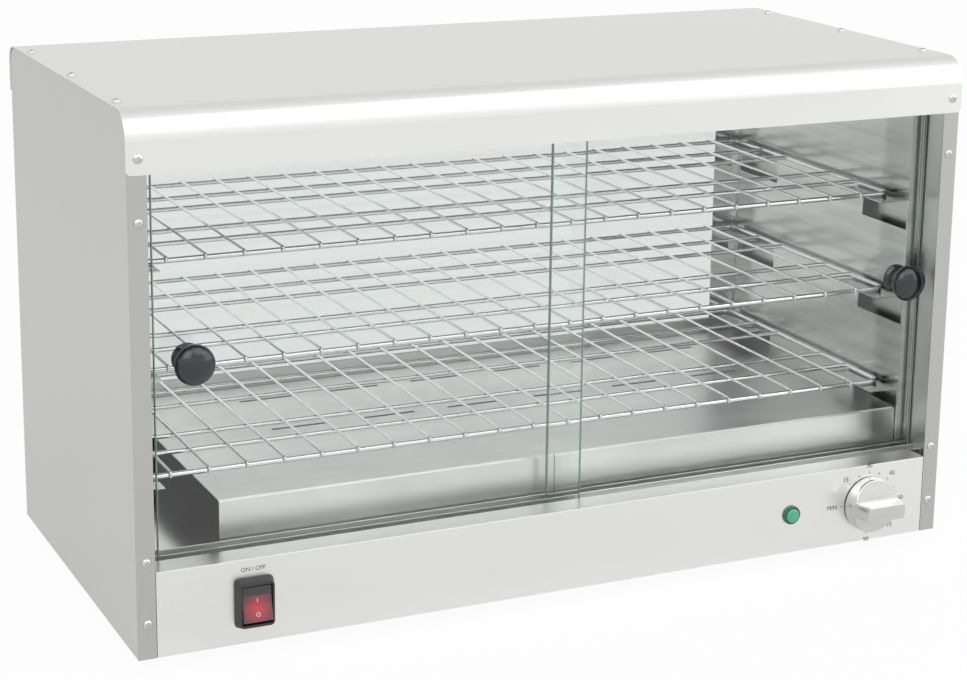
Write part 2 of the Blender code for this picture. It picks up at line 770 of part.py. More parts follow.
# Door tracks: three ribs on a base, open upward below the doors and downward above them
for name, base_z, rise, rib_height in (
    ("front_bottom_track", TRACK_Z, 1, TRACK_RIB_HEIGHT),
    ("front_top_track", TOP_TRACK_Z, -1, TOP_TRACK_RIB_HEIGHT),
):
    rib_z = base_z + rise * rib_height
    groove_z = base_z + rise * TRACK_BASE
    ribs = (
        (TRACK_FRONT_Y, base_z),
        (TRACK_REAR_Y, base_z),
        (TRACK_REAR_Y, rib_z),
        (TRACK_REAR_Y - TRACK_WALL, rib_z),
        (TRACK_REAR_Y - TRACK_WALL, groove_z),
        (INNER_GROOVE_Y, groove_z),
        (INNER_GROOVE_Y, rib_z),
        (INNER_GROOVE_Y - TRACK_WALL, rib_z),
        (INNER_GROOVE_Y - TRACK_WALL, groove_z),
        (OUTER_GROOVE_Y, groove_z),
        (OUTER_GROOVE_Y, rib_z),
        (TRACK_FRONT_Y, rib_z),
    )
    section(name, ribs, -BEHIND_PANEL_X, 2 * BEHIND_PANEL_X, track_metal)

# Element cover
bridge_left = -CHAMBER_X + BRIDGE_LEFT_GAP
bridge_top = FLOOR_TOP + BRIDGE_HEIGHT
bridge_rear = FLOOR_REAR_Y - SHEET - BRIDGE_REAR_GAP
fold = BRIDGE_FOLD
element_cover = strip(
    "element_cover",
    (
        (BRIDGE_FRONT, FLOOR_TOP + SEAT),
        (BRIDGE_FRONT, bridge_top - fold),
        (BRIDGE_FRONT + fold, bridge_top),
        (bridge_rear - fold, bridge_top),
        (bridge_rear, bridge_top - fold),
        (bridge_rear, FLOOR_TOP + SEAT),
    ),
    0,
    bridge_left,
    CHAMBER_X - bridge_left,
    BRIDGE_SHEET,
    brushed_steel,
)
slots = []
for share in SLOT_ROW_SHARES:
    slot_y = BRIDGE_FRONT + share * (bridge_rear - BRIDGE_FRONT)
    for k in range(SLOT_COUNT):
        slot_x = bridge_left + FIRST_SLOT_INSET + k * SLOT_PITCH
        slots.append(
            (
                (slot_x, slot_y - SLOT_WIDTH / 2, bridge_top - BRIDGE_SHEET - CUT_OVERRUN),
                (slot_x + SLOT_LENGTH, slot_y + SLOT_WIDTH / 2, bridge_top + CUT_OVERRUN),
            )
        )
boolean(element_cover, boxes("louvre_slots", slots), "DIFFERENCE", "louvre_slots")

# Heating element: a hairpin of sheathed tube on two clips
element_y = (BRIDGE_FRONT + bridge_rear) / 2
element_left = bridge_left + ELEMENT_LEFT_INSET
element_right = CHAMBER_X - ELEMENT_RIGHT_GAP - ELEMENT_SPREAD / 2
half_spread = ELEMENT_SPREAD / 2
bend = arc((element_right, element_y), half_spread, -math.pi / 2, math.pi / 2, ELEMENT_BEND_STEPS)
hairpin = [(element_left, element_y - half_spread, ELEMENT_Z)]
hairpin += [(x, y, ELEMENT_Z) for x, y in bend]
hairpin += [(element_left, element_y + half_spread, ELEMENT_Z)]
heating_element = wires("heating_element", [hairpin], ELEMENT_RADIUS, 2, element_metal)

clip_top = ELEMENT_Z - ELEMENT_RADIUS - SEAT
for name, clip_x in (
    ("element_clip_left", element_left + CLIP_INSET),
    ("element_clip_right", element_right - CLIP_INSET),
):
    reach = half_spread + CLIP_MARGIN
    clip = strip(
        name,
        (
            (element_y - reach - CLIP_FOOT, FLOOR_TOP + SEAT + CLIP_SHEET),
            (element_y - reach, FLOOR_TOP + SEAT + CLIP_SHEET),
            (element_y - reach, clip_top),
            (element_y + reach, clip_top),
            (element_y + reach, FLOOR_TOP + SEAT + CLIP_SHEET),
            (element_y + reach + CLIP_FOOT, FLOOR_TOP + SEAT + CLIP_SHEET),
        ),
        0,
        clip_x,
        CLIP_WIDTH,
        CLIP_SHEET,
        zinc,
    )

# Rear wall: lower panel, glass in its two channels, and the uprights before the glass
rear_panel = tray(
    "rear_lower_panel",
    (-FASCIA_X, REAR_PANEL_FRONT_Y, 0),
    (FASCIA_X, REAR_Y, REAR_PANEL_HEIGHT),
    1,
    REAR_PANEL_FRONT_Y,
    SHEET,
    satin_steel,
)
gland_x = GLAND_FROM_LEFT - HALF_WIDTH
gland_hole = drill(
    "gland_hole", gland_x, REAR_Y - SHEET / 2, GLAND_Z, GLAND_SHANK_RADIUS + SEAT, hole_length
)
boolean(rear_panel, gland_hole, "DIFFERENCE", "gland_hole")

channel_front = REAR_GLASS_Y - SEAT - CHANNEL_SHEET
channel_rear = BEHIND_REAR_Y + SEAT + CHANNEL_SHEET
for name, base_z, rise in (
    ("rear_glass_bottom_channel", REAR_PANEL_HEIGHT + SEAT, 1),
    ("rear_glass_top_channel", REAR_GLASS_TOP + SEAT + CHANNEL_SHEET, -1),
):
    rim_z = base_z + rise * CHANNEL_HEIGHT
    bed_z = base_z + rise * CHANNEL_SHEET
    gutter = (
        (channel_front, base_z),
        (channel_rear, base_z),
        (channel_rear, rim_z),
        (channel_rear - CHANNEL_SHEET, rim_z),
        (channel_rear - CHANNEL_SHEET, bed_z),
        (channel_front + CHANNEL_SHEET, bed_z),
        (channel_front + CHANNEL_SHEET, rim_z),
        (channel_front, rim_z),
    )
    section(name, gutter, -FASCIA_X, 2 * FASCIA_X, track_metal)

GLASS_SEAT_Z = REAR_PANEL_HEIGHT + SEAT + CHANNEL_SHEET + SEAT
block(
    "rear_glass",
    (-REAR_GLASS_HALF_WIDTH, REAR_GLASS_Y, GLASS_SEAT_Z),
    (REAR_GLASS_HALF_WIDTH, REAR_GLASS_Y + REAR_GLASS, REAR_GLASS_TOP),
    clear_glass,
)
UPRIGHT_BOTTOM = REAR_PANEL_HEIGHT + SEAT + CHANNEL_HEIGHT + SEAT
UPRIGHT_TOP = REAR_GLASS_TOP + SEAT + CHANNEL_SHEET - CHANNEL_HEIGHT - SEAT
upright_y = REAR_GLASS_Y - SEAT
for side, name in ((-1, "rear_left_upright"), (1, "rear_right_upright")):
    run = (
        (side * CHAMBER_X, upright_y - SHEET - UPRIGHT_RETURN),
        (side * CHAMBER_X, upright_y),
        (side * (CHAMBER_X - UPRIGHT_WIDTH), upright_y),
    )
    upright = strip(
        name,
        run if side < 0 else run[::-1],
        2,
        UPRIGHT_BOTTOM,
        UPRIGHT_TOP - UPRIGHT_BOTTOM,
        SHEET,
        satin_steel,
    )

# Wire shelves: a frame wire, four long wires and cross wires turned down over the front
half_length = SHELF_LENGTH / 2 - FRAME_WIRE
frame_rear = SHELF_DEPTH
cross_z = FRAME_WIRE + CROSS_WIRE - WELD_BITE
long_z = FRAME_WIRE - LONG_WIRE


def shelf(name, level):
    """A welded wire shelf with its origin at the middle of its front wire."""
    frame_run = []
    for cx, cy, start in (
        (half_length - SHELF_CORNER, SHELF_CORNER, -math.pi / 2),
        (half_length - SHELF_CORNER, frame_rear - SHELF_CORNER, 0),
        (SHELF_CORNER - half_length, frame_rear - SHELF_CORNER, math.pi / 2),
        (SHELF_CORNER - half_length, SHELF_CORNER, math.pi),
    ):
        corner = arc((cx, cy), SHELF_CORNER, start, start + math.pi / 2, 4)
        frame_run += [(x, y, 0) for x, y in corner]
    long_runs = [
        [(-half_length, share * frame_rear, long_z), (half_length, share * frame_rear, long_z)]
        for share in LONG_WIRE_SHARES
    ]
    tip_y = -(FRAME_WIRE + CROSS_WIRE - WELD_BITE)
    spacing = 2 * half_length / CROSS_SPACES
    cross_runs = []
    for k in range(1, CROSS_SPACES):
        x = k * spacing - half_length
        cross_runs.append(
            [
                (x, frame_rear + CROSS_REAR_OVERHANG, cross_z),
                (x, tip_y, cross_z),
                (x, tip_y, cross_z - CROSS_TIP_DROP),
            ]
        )
    made = wires(name, [frame_run], FRAME_WIRE, 1, chrome, cyclic=True)
    boolean(made, wires(name + "_long_wires", long_runs, LONG_WIRE, 1, None), "UNION", "long_wires")
    boolean(made, wires(name + "_cross_wires", cross_runs, CROSS_WIRE, 1, None), "UNION", "cross_wires")
    for helper in (name + "_long_wires", name + "_cross_wires"):
        cutters.objects[helper].location = (0, SHELF_FRONT, level)
    made.location = (0, SHELF_FRONT, level)
    return made


shelf("top_shelf", TOP_SHELF_Z)
shelf("middle_shelf", MIDDLE_SHELF_Z)
shelf("bottom_shelf", BOTTOM_SHELF_Z)

# Sliding doors, each with a mushroom knob held by a screw through the glass. The left door stands a little open.
for side, name, door_y, set_in, knob_z in (
    (-1, "left_door", LEFT_DOOR_Y, LEFT_DOOR_SET_IN, LEFT_KNOB_HEIGHT),
    (1, "right_door", RIGHT_DOOR_Y, 0, RIGHT_KNOB_HEIGHT),
):
    edge_x = side * (DOOR_REACH - set_in)
    other_x = edge_x - side * DOOR_WIDTH
    knob_x = edge_x - side * KNOB_EDGE_INSET
    glass = block(
        name + "_glass",
        (min(edge_x, other_x), door_y - GLASS / 2, DOOR_BOTTOM),
        (max(edge_x, other_x), door_y + GLASS / 2, DOOR_TOP),
        clear_glass,
        GLASS_CHAMFER,
    )
    hole = drill(name + "_knob_hole", knob_x, door_y, knob_z, GLASS_HOLE_RADIUS, GLASS + 2 * CUT_OVERRUN)
    boolean(glass, hole, "DIFFERENCE", "knob_hole")
    knob_back = door_y - GLASS / 2 - SEAT
    head_back = KNOB_LENGTH - KNOB_HEAD_LENGTH
    dome = [
        (KNOB_HEAD_RADIUS * math.sin(a), head_back + KNOB_HEAD_LENGTH / 2 * (1 - math.cos(a + math.pi)))
        for a in (math.pi * k / 12 for k in range(10))
    ]
    neck = [
        (KNOB_NECK_RADIUS, head_back),
        (KNOB_NECK_RADIUS, KNOB_BASE_LENGTH * 2),
        (KNOB_BASE_RADIUS, KNOB_BASE_LENGTH),
        (KNOB_BASE_RADIUS, 0),
        (SCREW_RADIUS + SEAT, 0),
        (SCREW_RADIUS + SEAT, KNOB_SOCKET_DEPTH),
        (0, KNOB_SOCKET_DEPTH),
    ]
    turned(name + "_knob", dome + neck, (knob_x, knob_back, knob_z), black_knob)
    screw_back = door_y + GLASS / 2 + SEAT
    reach = SCREW_LENGTH + GLASS
    turned(
        name + "_knob_screw",
        (
            (0, reach),
            (SCREW_RADIUS, reach),
            (SCREW_RADIUS, 0),
            (SCREW_HEAD_RADIUS, 0),
            (SCREW_HEAD_RADIUS, -SCREW_HEAD_LENGTH),
            (0, -SCREW_HEAD_LENGTH),
        ),
        (knob_x, screw_back, knob_z),
        zinc,
        SMALL_ROUND_STEPS,
    )

# Switch: a tapered surround with a pocket, and the rocker on its pivot
bm = bmesh.new()
front = FRONT_Y - SEAT
verts = add_box(
    bm,
    (-BEZEL_WIDTH / 2, -BEZEL_PROUD, -BEZEL_HEIGHT / 2),
    (BEZEL_WIDTH / 2, 0, BEZEL_HEIGHT / 2),
)
upright_edges = edges_at(bm, lambda p: True)
upright_edges = [e for e in upright_edges if near(e.verts[0].co.x, e.verts[1].co.x)]
upright_edges = [e for e in upright_edges if near(e.verts[0].co.z, e.verts[1].co.z)]
bmesh.ops.bevel(
    bm, geom=upright_edges, offset=BEZEL_CORNER, segments=CORNER_SEGMENTS, profile=0.5, affect="EDGES"
)
for v in bm.verts:
    if near(v.co.y, -BEZEL_PROUD):
        v.co.x *= 1 - 2 * BEZEL_TAPER / BEZEL_WIDTH
        v.co.z *= 1 - 2 * BEZEL_TAPER / BEZEL_HEIGHT
bezel = place("switch_bezel", to_mesh(bm, "switch_bezel"), (SWITCH_PLACE_X, front, SWITCH_Z), black_plastic)
body = boxes(
    "switch_body",
    [
        (
            (
                SWITCH_PLACE_X - SWITCH_BODY_WIDTH / 2,
                front - BEZEL_PROUD / 2,
                SWITCH_Z - SWITCH_BODY_HEIGHT / 2,
            ),
            (
                SWITCH_PLACE_X + SWITCH_BODY_WIDTH / 2,
                front + SWITCH_BODY_DEPTH,
                SWITCH_Z + SWITCH_BODY_HEIGHT / 2,
            ),
        )
    ],
)
boolean(bezel, body, "UNION", "switch_body")
pocket = boxes(
    "switch_pocket",
    [
        (
            (
                SWITCH_PLACE_X - POCKET_WIDTH / 2,
                front - BEZEL_PROUD - CUT_OVERRUN,
                SWITCH_Z - POCKET_HEIGHT / 2,
            ),
            (
                SWITCH_PLACE_X + POCKET_WIDTH / 2,
                front - BEZEL_PROUD + POCKET_DEPTH,
                SWITCH_Z + POCKET_HEIGHT / 2,
            ),
        )
    ],
)
boolean(bezel, pocket, "DIFFERENCE", "pocket")

# The rocker's outline lies in (Y, Z) about its pivot, at rest with its upper end pressed in
rocker_outline = (
    (-ROCKER_FRONT, -ROCKER_HALF_HEIGHT),
    (-ROCKER_VALLEY, 0),
    (-ROCKER_FRONT, ROCKER_HALF_HEIGHT),
    (0, ROCKER_HALF_HEIGHT),
    (ROCKER_HEEL, ROCKER_HEEL_HALF_HEIGHT),
    (ROCKER_HEEL, -ROCKER_HEEL_HALF_HEIGHT),
    (0, -ROCKER_HALF_HEIGHT),
)
rocker = section("switch_rocker", rocker_outline, -ROCKER_WIDTH / 2, ROCKER_WIDTH, red_plastic)
rocker.location = (SWITCH_PLACE_X, front - ROCKER_PIVOT_PROUD, SWITCH_Z)
rocker.rotation_euler = (-ROCKER_TILT, 0, 0)
round_edges(rocker, ROCKER_EDGE, 2)

# Pilot lamp
lamp_front = FRONT_Y - SEAT
lamp_inner = SHEET + 2 * SEAT
turned(
    "pilot_lamp_body",
    (
        (0, LAMP_RIM_PROUD - LAMP_LENS_SEAT_DEPTH),
        (LAMP_LENS_RADIUS + SEAT, LAMP_RIM_PROUD - LAMP_LENS_SEAT_DEPTH),
        (LAMP_LENS_RADIUS + SEAT, LAMP_RIM_PROUD),
        (LAMP_RIM_RADIUS - LAMP_LENS_SEAT_DEPTH, LAMP_RIM_PROUD),
        (LAMP_RIM_RADIUS, 0),
        (LAMP_BARREL_RADIUS, 0),
        (LAMP_BARREL_RADIUS, -lamp_inner),
        (LAMP_NUT_RADIUS, -lamp_inner),
        (LAMP_NUT_RADIUS, -lamp_inner - LAMP_NUT_LENGTH),
        (LAMP_BARREL_RADIUS, -lamp_inner - LAMP_NUT_LENGTH),
        (LAMP_BARREL_RADIUS, -LAMP_LENGTH),
        (0, -LAMP_LENGTH),
    ),
    (LAMP_PLACE_X, lamp_front, LAMP_Z),
    black_plastic,
)
lens_base = LAMP_RIM_PROUD - LAMP_LENS_SEAT_DEPTH + SEAT
lens_dome = [
    (LAMP_LENS_RADIUS * math.sin(a), lens_base + LAMP_LENS_EDGE + (LAMP_LENS_PROUD - LAMP_LENS_EDGE) * math.cos(a))
    for a in (math.pi / 2 * k / 5 for k in range(6))
]
turned(
    "pilot_lamp_lens",
    lens_dome + [(LAMP_LENS_RADIUS, lens_base), (0, lens_base)],
    (LAMP_PLACE_X, lamp_front, LAMP_Z),
    green_plastic,
)

# Thermostat: body behind the fascia, shaft, and the dial with its bar grip
stat_y = BEHIND_FRONT_Y
bush_front = BEHIND_FRONT_Y - FRONT_Y + BUSH_PROUD
turned(
    "thermostat_body",
    (
        (0, bush_front - BUSH_BORE_DEPTH),
        (SHAFT_RADIUS + SEAT, bush_front - BUSH_BORE_DEPTH),
        (SHAFT_RADIUS + SEAT, bush_front),
        (BUSH_RADIUS, bush_front),
        (BUSH_RADIUS, 0),
        (STAT_RADIUS, 0),
        (STAT_RADIUS, -STAT_LENGTH),
        (0, -STAT_LENGTH),
    ),
    (DIAL_PLACE_X, stat_y, DIAL_Z),
    zinc,
)
shaft_rear = bush_front - BUSH_BORE_DEPTH + SEAT
turned(
    "thermostat_shaft",
    (
        (0, shaft_rear + SHAFT_LENGTH),
        (SHAFT_RADIUS, shaft_rear + SHAFT_LENGTH),
        (SHAFT_RADIUS, shaft_rear),
        (0, shaft_rear),
    ),
    (DIAL_PLACE_X, stat_y, DIAL_Z),
    zinc,
    SMALL_ROUND_STEPS,
)
dial_back = FRONT_Y - DIAL_CLEAR
dial = turned(
    "thermostat_knob",
    (
        (0, DIAL_LENGTH),
        (DIAL_FRONT_RADIUS - DIAL_EDGE, DIAL_LENGTH),
        (DIAL_FRONT_RADIUS, DIAL_LENGTH - DIAL_EDGE),
        (DIAL_RADIUS, DIAL_SKIRT_LENGTH),
        (DIAL_RADIUS, 0),
        (SHAFT_RADIUS + SEAT, 0),
        (SHAFT_RADIUS + SEAT, DIAL_SOCKET_DEPTH),
        (0, DIAL_SOCKET_DEPTH),
    ),
    (DIAL_PLACE_X, dial_back, DIAL_Z),
    knob_metal,
)
# One flat-bottomed scoop above the bar and one below it, each with a sloping inner end
for rise, name in ((1, "scoop_above"), (-1, "scoop_below")):
    far = DIAL_RADIUS + CUT_OVERRUN
    tip = dial_back - DIAL_LENGTH - CUT_OVERRUN
    floor_end = dial_back - DIAL_LENGTH + GRIP_DEPTH
    scoop = section(
        name,
        (
            (tip, rise * GRIP_HALF_THICKNESS),
            (floor_end, rise * GRIP_HALF_THICKNESS),
            (floor_end + GRIP_SCOOP_DEPTH, rise * far),
            (tip, rise * far),
        ),
        -far,
        2 * far,
        None,
    )
    scoop.location = (DIAL_PLACE_X, 0, DIAL_Z)
    boolean(dial, scoop, "DIFFERENCE", name)

# Capillary: out of the thermostat's back, up through the floor, to its bulb above the element
stat_back = BEHIND_FRONT_Y + STAT_LENGTH + SEAT
capillary = [
    (CAPILLARY_X, stat_back, DIAL_Z),
    (CAPILLARY_X, stat_back + CAPILLARY_STEP, DIAL_Z),
    (CAPILLARY_X, CAPILLARY_HOLE_Y - CAPILLARY_STEP, DIAL_Z),
    (CAPILLARY_X, CAPILLARY_HOLE_Y, DIAL_Z + CAPILLARY_STEP),
    (CAPILLARY_X, CAPILLARY_HOLE_Y, BULB_Z - CAPILLARY_STEP),
    (CAPILLARY_X - CAPILLARY_STEP / 2, CAPILLARY_HOLE_Y, BULB_Z - CAPILLARY_STEP / 4),
    (CAPILLARY_X - CAPILLARY_STEP, CAPILLARY_HOLE_Y, BULB_Z),
    (CAPILLARY_X - CAPILLARY_STEP - BULB_NECK, CAPILLARY_HOLE_Y, BULB_Z),
    (CAPILLARY_X - CAPILLARY_STEP - 2 * BULB_NECK, CAPILLARY_HOLE_Y, BULB_Z),
    (CAPILLARY_X - CAPILLARY_STEP - BULB_LENGTH, CAPILLARY_HOLE_Y, BULB_Z),
]
thick_share = BULB_RADIUS / CAPILLARY_RADIUS
thickness_shares = [1] * (len(capillary) - 2) + [thick_share] * 2
wires("thermostat_capillary", [capillary], CAPILLARY_RADIUS, 2, copper, radii=thickness_shares)

# Terminal block on the base pan, and the gland that the mains cord enters by
pan_floor = PAN_Z + SHEET + SEAT
terminal_x = TERMINAL_SET_IN - HALF_WIDTH
terminal_y = CASE_DEPTH - TERMINAL_SET_IN
block(
    "terminal_block",
    (terminal_x - TERMINAL_LENGTH / 2, terminal_y - TERMINAL_WIDTH / 2, pan_floor),
    (terminal_x + TERMINAL_LENGTH / 2, terminal_y + TERMINAL_WIDTH / 2, pan_floor + TERMINAL_HEIGHT),
    black_plastic,
    TERMINAL_EDGE,
)
gland_inner = SHEET + 2 * SEAT
gland_outer = GLAND_COLLAR_LENGTH + GLAND_NOSE_LENGTH
turned(
    "cord_gland",
    (
        (GLAND_BORE_RADIUS, gland_inner + GLAND_NUT_LENGTH),
        (GLAND_COLLAR_RADIUS, gland_inner + GLAND_NUT_LENGTH),
        (GLAND_COLLAR_RADIUS, gland_inner),
        (GLAND_SHANK_RADIUS, gland_inner),
        (GLAND_SHANK_RADIUS, 0),
        (GLAND_COLLAR_RADIUS, 0),
        (GLAND_COLLAR_RADIUS, -GLAND_COLLAR_LENGTH),
        (GLAND_NOSE_RADIUS, -gland_outer),
        (GLAND_BORE_RADIUS, -gland_outer),
        (GLAND_BORE_RADIUS, gland_inner + GLAND_NUT_LENGTH),
    ),
    (gland_x, REAR_Y + SEAT, GLAND_Z),
    black_plastic,
)
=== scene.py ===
"""Looks of a heated display cabinet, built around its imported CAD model."""

import math

import bmesh
import bpy
from mathutils import Euler, Matrix, Vector


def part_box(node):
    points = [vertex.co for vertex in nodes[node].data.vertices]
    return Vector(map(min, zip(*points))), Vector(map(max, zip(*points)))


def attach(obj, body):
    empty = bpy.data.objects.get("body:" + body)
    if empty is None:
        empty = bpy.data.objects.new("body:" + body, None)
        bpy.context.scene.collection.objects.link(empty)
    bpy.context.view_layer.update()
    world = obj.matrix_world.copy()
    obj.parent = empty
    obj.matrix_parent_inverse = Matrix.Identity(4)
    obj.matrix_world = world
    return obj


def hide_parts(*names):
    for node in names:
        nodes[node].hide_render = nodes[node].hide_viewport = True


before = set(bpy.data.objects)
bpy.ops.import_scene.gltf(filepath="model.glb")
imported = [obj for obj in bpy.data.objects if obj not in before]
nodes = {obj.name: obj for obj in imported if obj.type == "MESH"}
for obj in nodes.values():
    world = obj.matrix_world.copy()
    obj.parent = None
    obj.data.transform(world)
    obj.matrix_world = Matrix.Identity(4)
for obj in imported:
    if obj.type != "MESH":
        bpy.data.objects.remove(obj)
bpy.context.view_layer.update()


# Camera: a long lens from the front left and above, with the frame lowered a little as in a shop photograph.
CAMERA_PLACE = (-0.83649, -1.78862, 0.75009)
CAMERA_TURN_DEG = (76.49, -0.714, -24.83)
CAMERA_LENS_MM = 85.1
CAMERA_SHIFT_Y = -0.10

lens = bpy.data.cameras.new("camera")
lens.lens = CAMERA_LENS_MM
lens.sensor_width = 36
lens.shift_y = CAMERA_SHIFT_Y
camera = bpy.data.objects.new("camera", lens)
camera.location = CAMERA_PLACE
camera.rotation_euler = Euler([math.radians(a) for a in CAMERA_TURN_DEG])
bpy.context.scene.collection.objects.link(camera)
bpy.context.scene.camera = camera
bpy.context.scene.view_settings.view_transform = "Standard"


# Top cover: one sheet of satin stainless, rolled over at the front into the valance and folded down at the
# back. The grain runs along it. Below the roll, the valance faces the viewer and is painted lighter as
# painted sheen, and the roof is painted darker as painted shade.
ROOF_PAINTED_SHADE_TONE = 0.63
VALANCE_PAINTED_LIGHT_TONE = 0.86
ROLL_TOP_Z = 0.4465
ROLL_FOOT_Z = 0.4380
COVER_ROUGHNESS = 0.30
COVER_CLOUD = 0.03
BEND_RADIUS = 0.0012
BEND_STEPS = 4
BEND_LEAST_DEG = 40
BEND_LEAST_FLANGES = 8
FLANGE_LEAST = 0.0025
SAME_POINT = 0.000002
FLAT_DEG = 1
SHARP_DEG = 30
GREY_BLUE_SHARE = 0.985
GRAIN_ALONG, GRAIN_ACROSS = 22, 1400
CLOUDS = (9, 9, 9)
GRAIN_STRENGTH = 0.12
GRAIN_DEPTH = 0.00002


class Term:
    """A shader socket that takes part in sums."""

    def __init__(self, surface, socket):
        self.surface = surface
        self.socket = socket

    def __add__(self, other):
        return self.surface.math("ADD", self, other)

    def __radd__(self, other):
        return self.surface.math("ADD", other, self)

    def __sub__(self, other):
        return self.surface.math("SUBTRACT", self, other)

    def __rsub__(self, other):
        return self.surface.math("SUBTRACT", other, self)

    def __mul__(self, other):
        return self.surface.math("MULTIPLY", self, other)

    def __rmul__(self, other):
        return self.surface.math("MULTIPLY", other, self)

    def __gt__(self, other):
        return self.surface.math("GREATER_THAN", self, other)

    def __lt__(self, other):
        return self.surface.math("LESS_THAN", self, other)

    def __abs__(self):
        return self.surface.math("ABSOLUTE", self)

    def least(self, other):
        return self.surface.math("MINIMUM", self, other)

    def most(self, other):
        return self.surface.math("MAXIMUM", self, other)

    def from_to(self, start, stop):
        """0 at start, 1 at stop, and never past either."""
        return ((self - start) * (1 / (stop - start))).most(0.0).least(1.0)


class Surface:
    """A material with one Principled shader, and nodes on its piece's own coordinates."""

    def __init__(self, name, color, roughness, metallic=0, **constants):
        self.material = bpy.data.materials.new(name)
        self.material.use_nodes = True
        self.tree = self.material.node_tree
        self.shader = self.tree.nodes["Principled BSDF"]
        self.set("Base Color", color)
        self.set("Roughness", roughness)
        self.set("Metallic", metallic)
        for socket, value in constants.items():
            self.set(socket.replace("_", " "), value)

    def feed(self, socket, value):
        if isinstance(value, Term):
            self.tree.links.new(value.socket, socket)
        elif socket.type == "RGBA":
            socket.default_value = (*value, 1)
        else:
            socket.default_value = value

    def set(self, socket, value):
        self.feed(self.shader.inputs[socket], value)

    def node(self, kind, settings, inputs, output=0):
        made = self.tree.nodes.new(kind)
        for key, value in settings.items():
            setattr(made, key, value)
        for key, value in inputs.items():
            self.feed(made.inputs[key], value)
        return Term(self, made.outputs[output])

    def math(self, operation, first, second=0.0):
        return self.node("ShaderNodeMath", {"operation": operation}, {0: first, 1: second})

    def along(self, axis):
        place = self.node("ShaderNodeTexCoord", {}, {}, "Object")
        return self.node("ShaderNodeSeparateXYZ", {}, {0: place}, axis)

    def noise(self, stretch, detail=3.0):
        place = self.node("ShaderNodeTexCoord", {}, {}, "Object")
        spot = self.node("ShaderNodeMapping", {}, {"Vector": place, "Scale": stretch})
        return self.node("ShaderNodeTexNoise", {}, {"Vector": spot, "Scale": 1.0, "Detail": detail})

    def tint(self, factor, dark, light):
        """From dark at factor 0 to light at factor 1."""
        return self.node("ShaderNodeMix", {"data_type": "RGBA"}, {0: factor, 6: dark, 7: light}, 2)

    def uneven(self, factor, low, high):
        self.set("Roughness", factor * (high - low) + low)

    def bump(self, height, strength, distance):
        heights = {"Height": height, "Strength": strength, "Distance": distance}
        self.set("Normal", self.node("ShaderNodeBump", {}, heights))


def grey(level):
    return (level, level, level * GREY_BLUE_SHARE)


def clouded(metal, tone, cloud):
    """The tone, a little darker and lighter from cloud to cloud."""
    return metal.tint(metal.clouds, grey(tone * (1 - cloud)), grey(tone * (1 + cloud)))


def satin(name, tone, roughness, grain, cloud=0.03, spread=0.07):
    """Sheet with a drawn grain: fine lines along one axis, and a slow cloudy change in tone and shine."""
    metal = Surface(name, grey(tone), roughness, 1)
    lines = metal.noise([GRAIN_ALONG if axis == grain else GRAIN_ACROSS for axis in "XYZ"], 2.0)
    metal.clouds = metal.noise(CLOUDS, 4.0)
    metal.set("Base Color", clouded(metal, tone, cloud))
    metal.uneven(lines * 0.5 + metal.clouds * 0.5, roughness - spread, roughness + spread)
    metal.bump(lines, GRAIN_STRENGTH, GRAIN_DEPTH)
    return metal


def as_mesh(bm, name):
    mesh = bpy.data.meshes.new(name)
    bm.to_mesh(mesh)
    bm.free()
    return mesh


def collect(name, mesh, surfaces, body, replaced=(), angle=35):
    """Makes a piece of a finished mesh and puts it on its body."""
    piece = bpy.data.objects.new(name, mesh)
    bpy.context.scene.collection.objects.link(piece)
    mesh.materials.clear()
    for surface in surfaces:
        mesh.materials.append(surface.material)
    mesh.shade_smooth()
    mesh.set_sharp_from_angle(angle=math.radians(angle))
    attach(piece, body)
    if replaced:
        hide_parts(*replaced)
    return piece


def folded(node, outer, inner=None, radius=BEND_RADIUS, flange=FLANGE_LEAST):
    """The node's own sheet with its bends rounded. Faces that look inwards may have their own surface."""
    bm = bmesh.new()
    bm.from_mesh(nodes[node].data)
    bmesh.ops.remove_doubles(bm, verts=bm.verts[:], dist=SAME_POINT)
    bmesh.ops.dissolve_limit(bm, angle_limit=math.radians(FLAT_DEG), verts=bm.verts[:], edges=bm.edges[:])
    bends = [
        edge for edge in bm.edges
        if math.degrees(edge.calc_face_angle(0)) > BEND_LEAST_DEG
        and edge.calc_length() > BEND_LEAST_FLANGES * flange
        and all(face.calc_area() / edge.calc_length() > flange for face in edge.link_faces)
    ]
    bmesh.ops.bevel(
        bm, geom=bends, offset=radius, offset_type="OFFSET", affect="EDGES", segments=BEND_STEPS,
        profile=0.5, material=-1, clamp_overlap=True,
    )
    surfaces = [outer]
    if inner:
        surfaces.append(inner)
        low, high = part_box(node)
        for face in bm.faces:
            face.material_index = int(face.normal.dot(face.calc_center_median() - (low + high) / 2) < 0)
    piece = collect(node + "_sheet", as_mesh(bm, node + "_sheet"), surfaces, "case", [node], SHARP_DEG)
    evened = piece.modifiers.new("evened", "WEIGHTED_NORMAL")
    evened.keep_sharp = True
    return piece


cover_steel = satin("cover_steel", ROOF_PAINTED_SHADE_TONE, COVER_ROUGHNESS, "X")
# Painted light: below the roll the same steel takes a lighter tone (painted sheen), and above it a darker one
# (painted shade).
painted_light_on_valance = cover_steel.along("Z").from_to(ROLL_TOP_Z, ROLL_FOOT_Z)
roof_painted_shade = clouded(cover_steel, ROOF_PAINTED_SHADE_TONE, COVER_CLOUD)
valance_painted_light = clouded(cover_steel, VALANCE_PAINTED_LIGHT_TONE, COVER_CLOUD)
cover_steel.set("Base Color", cover_steel.tint(painted_light_on_valance, roof_painted_shade, valance_painted_light))
folded("top_cover", cover_steel)
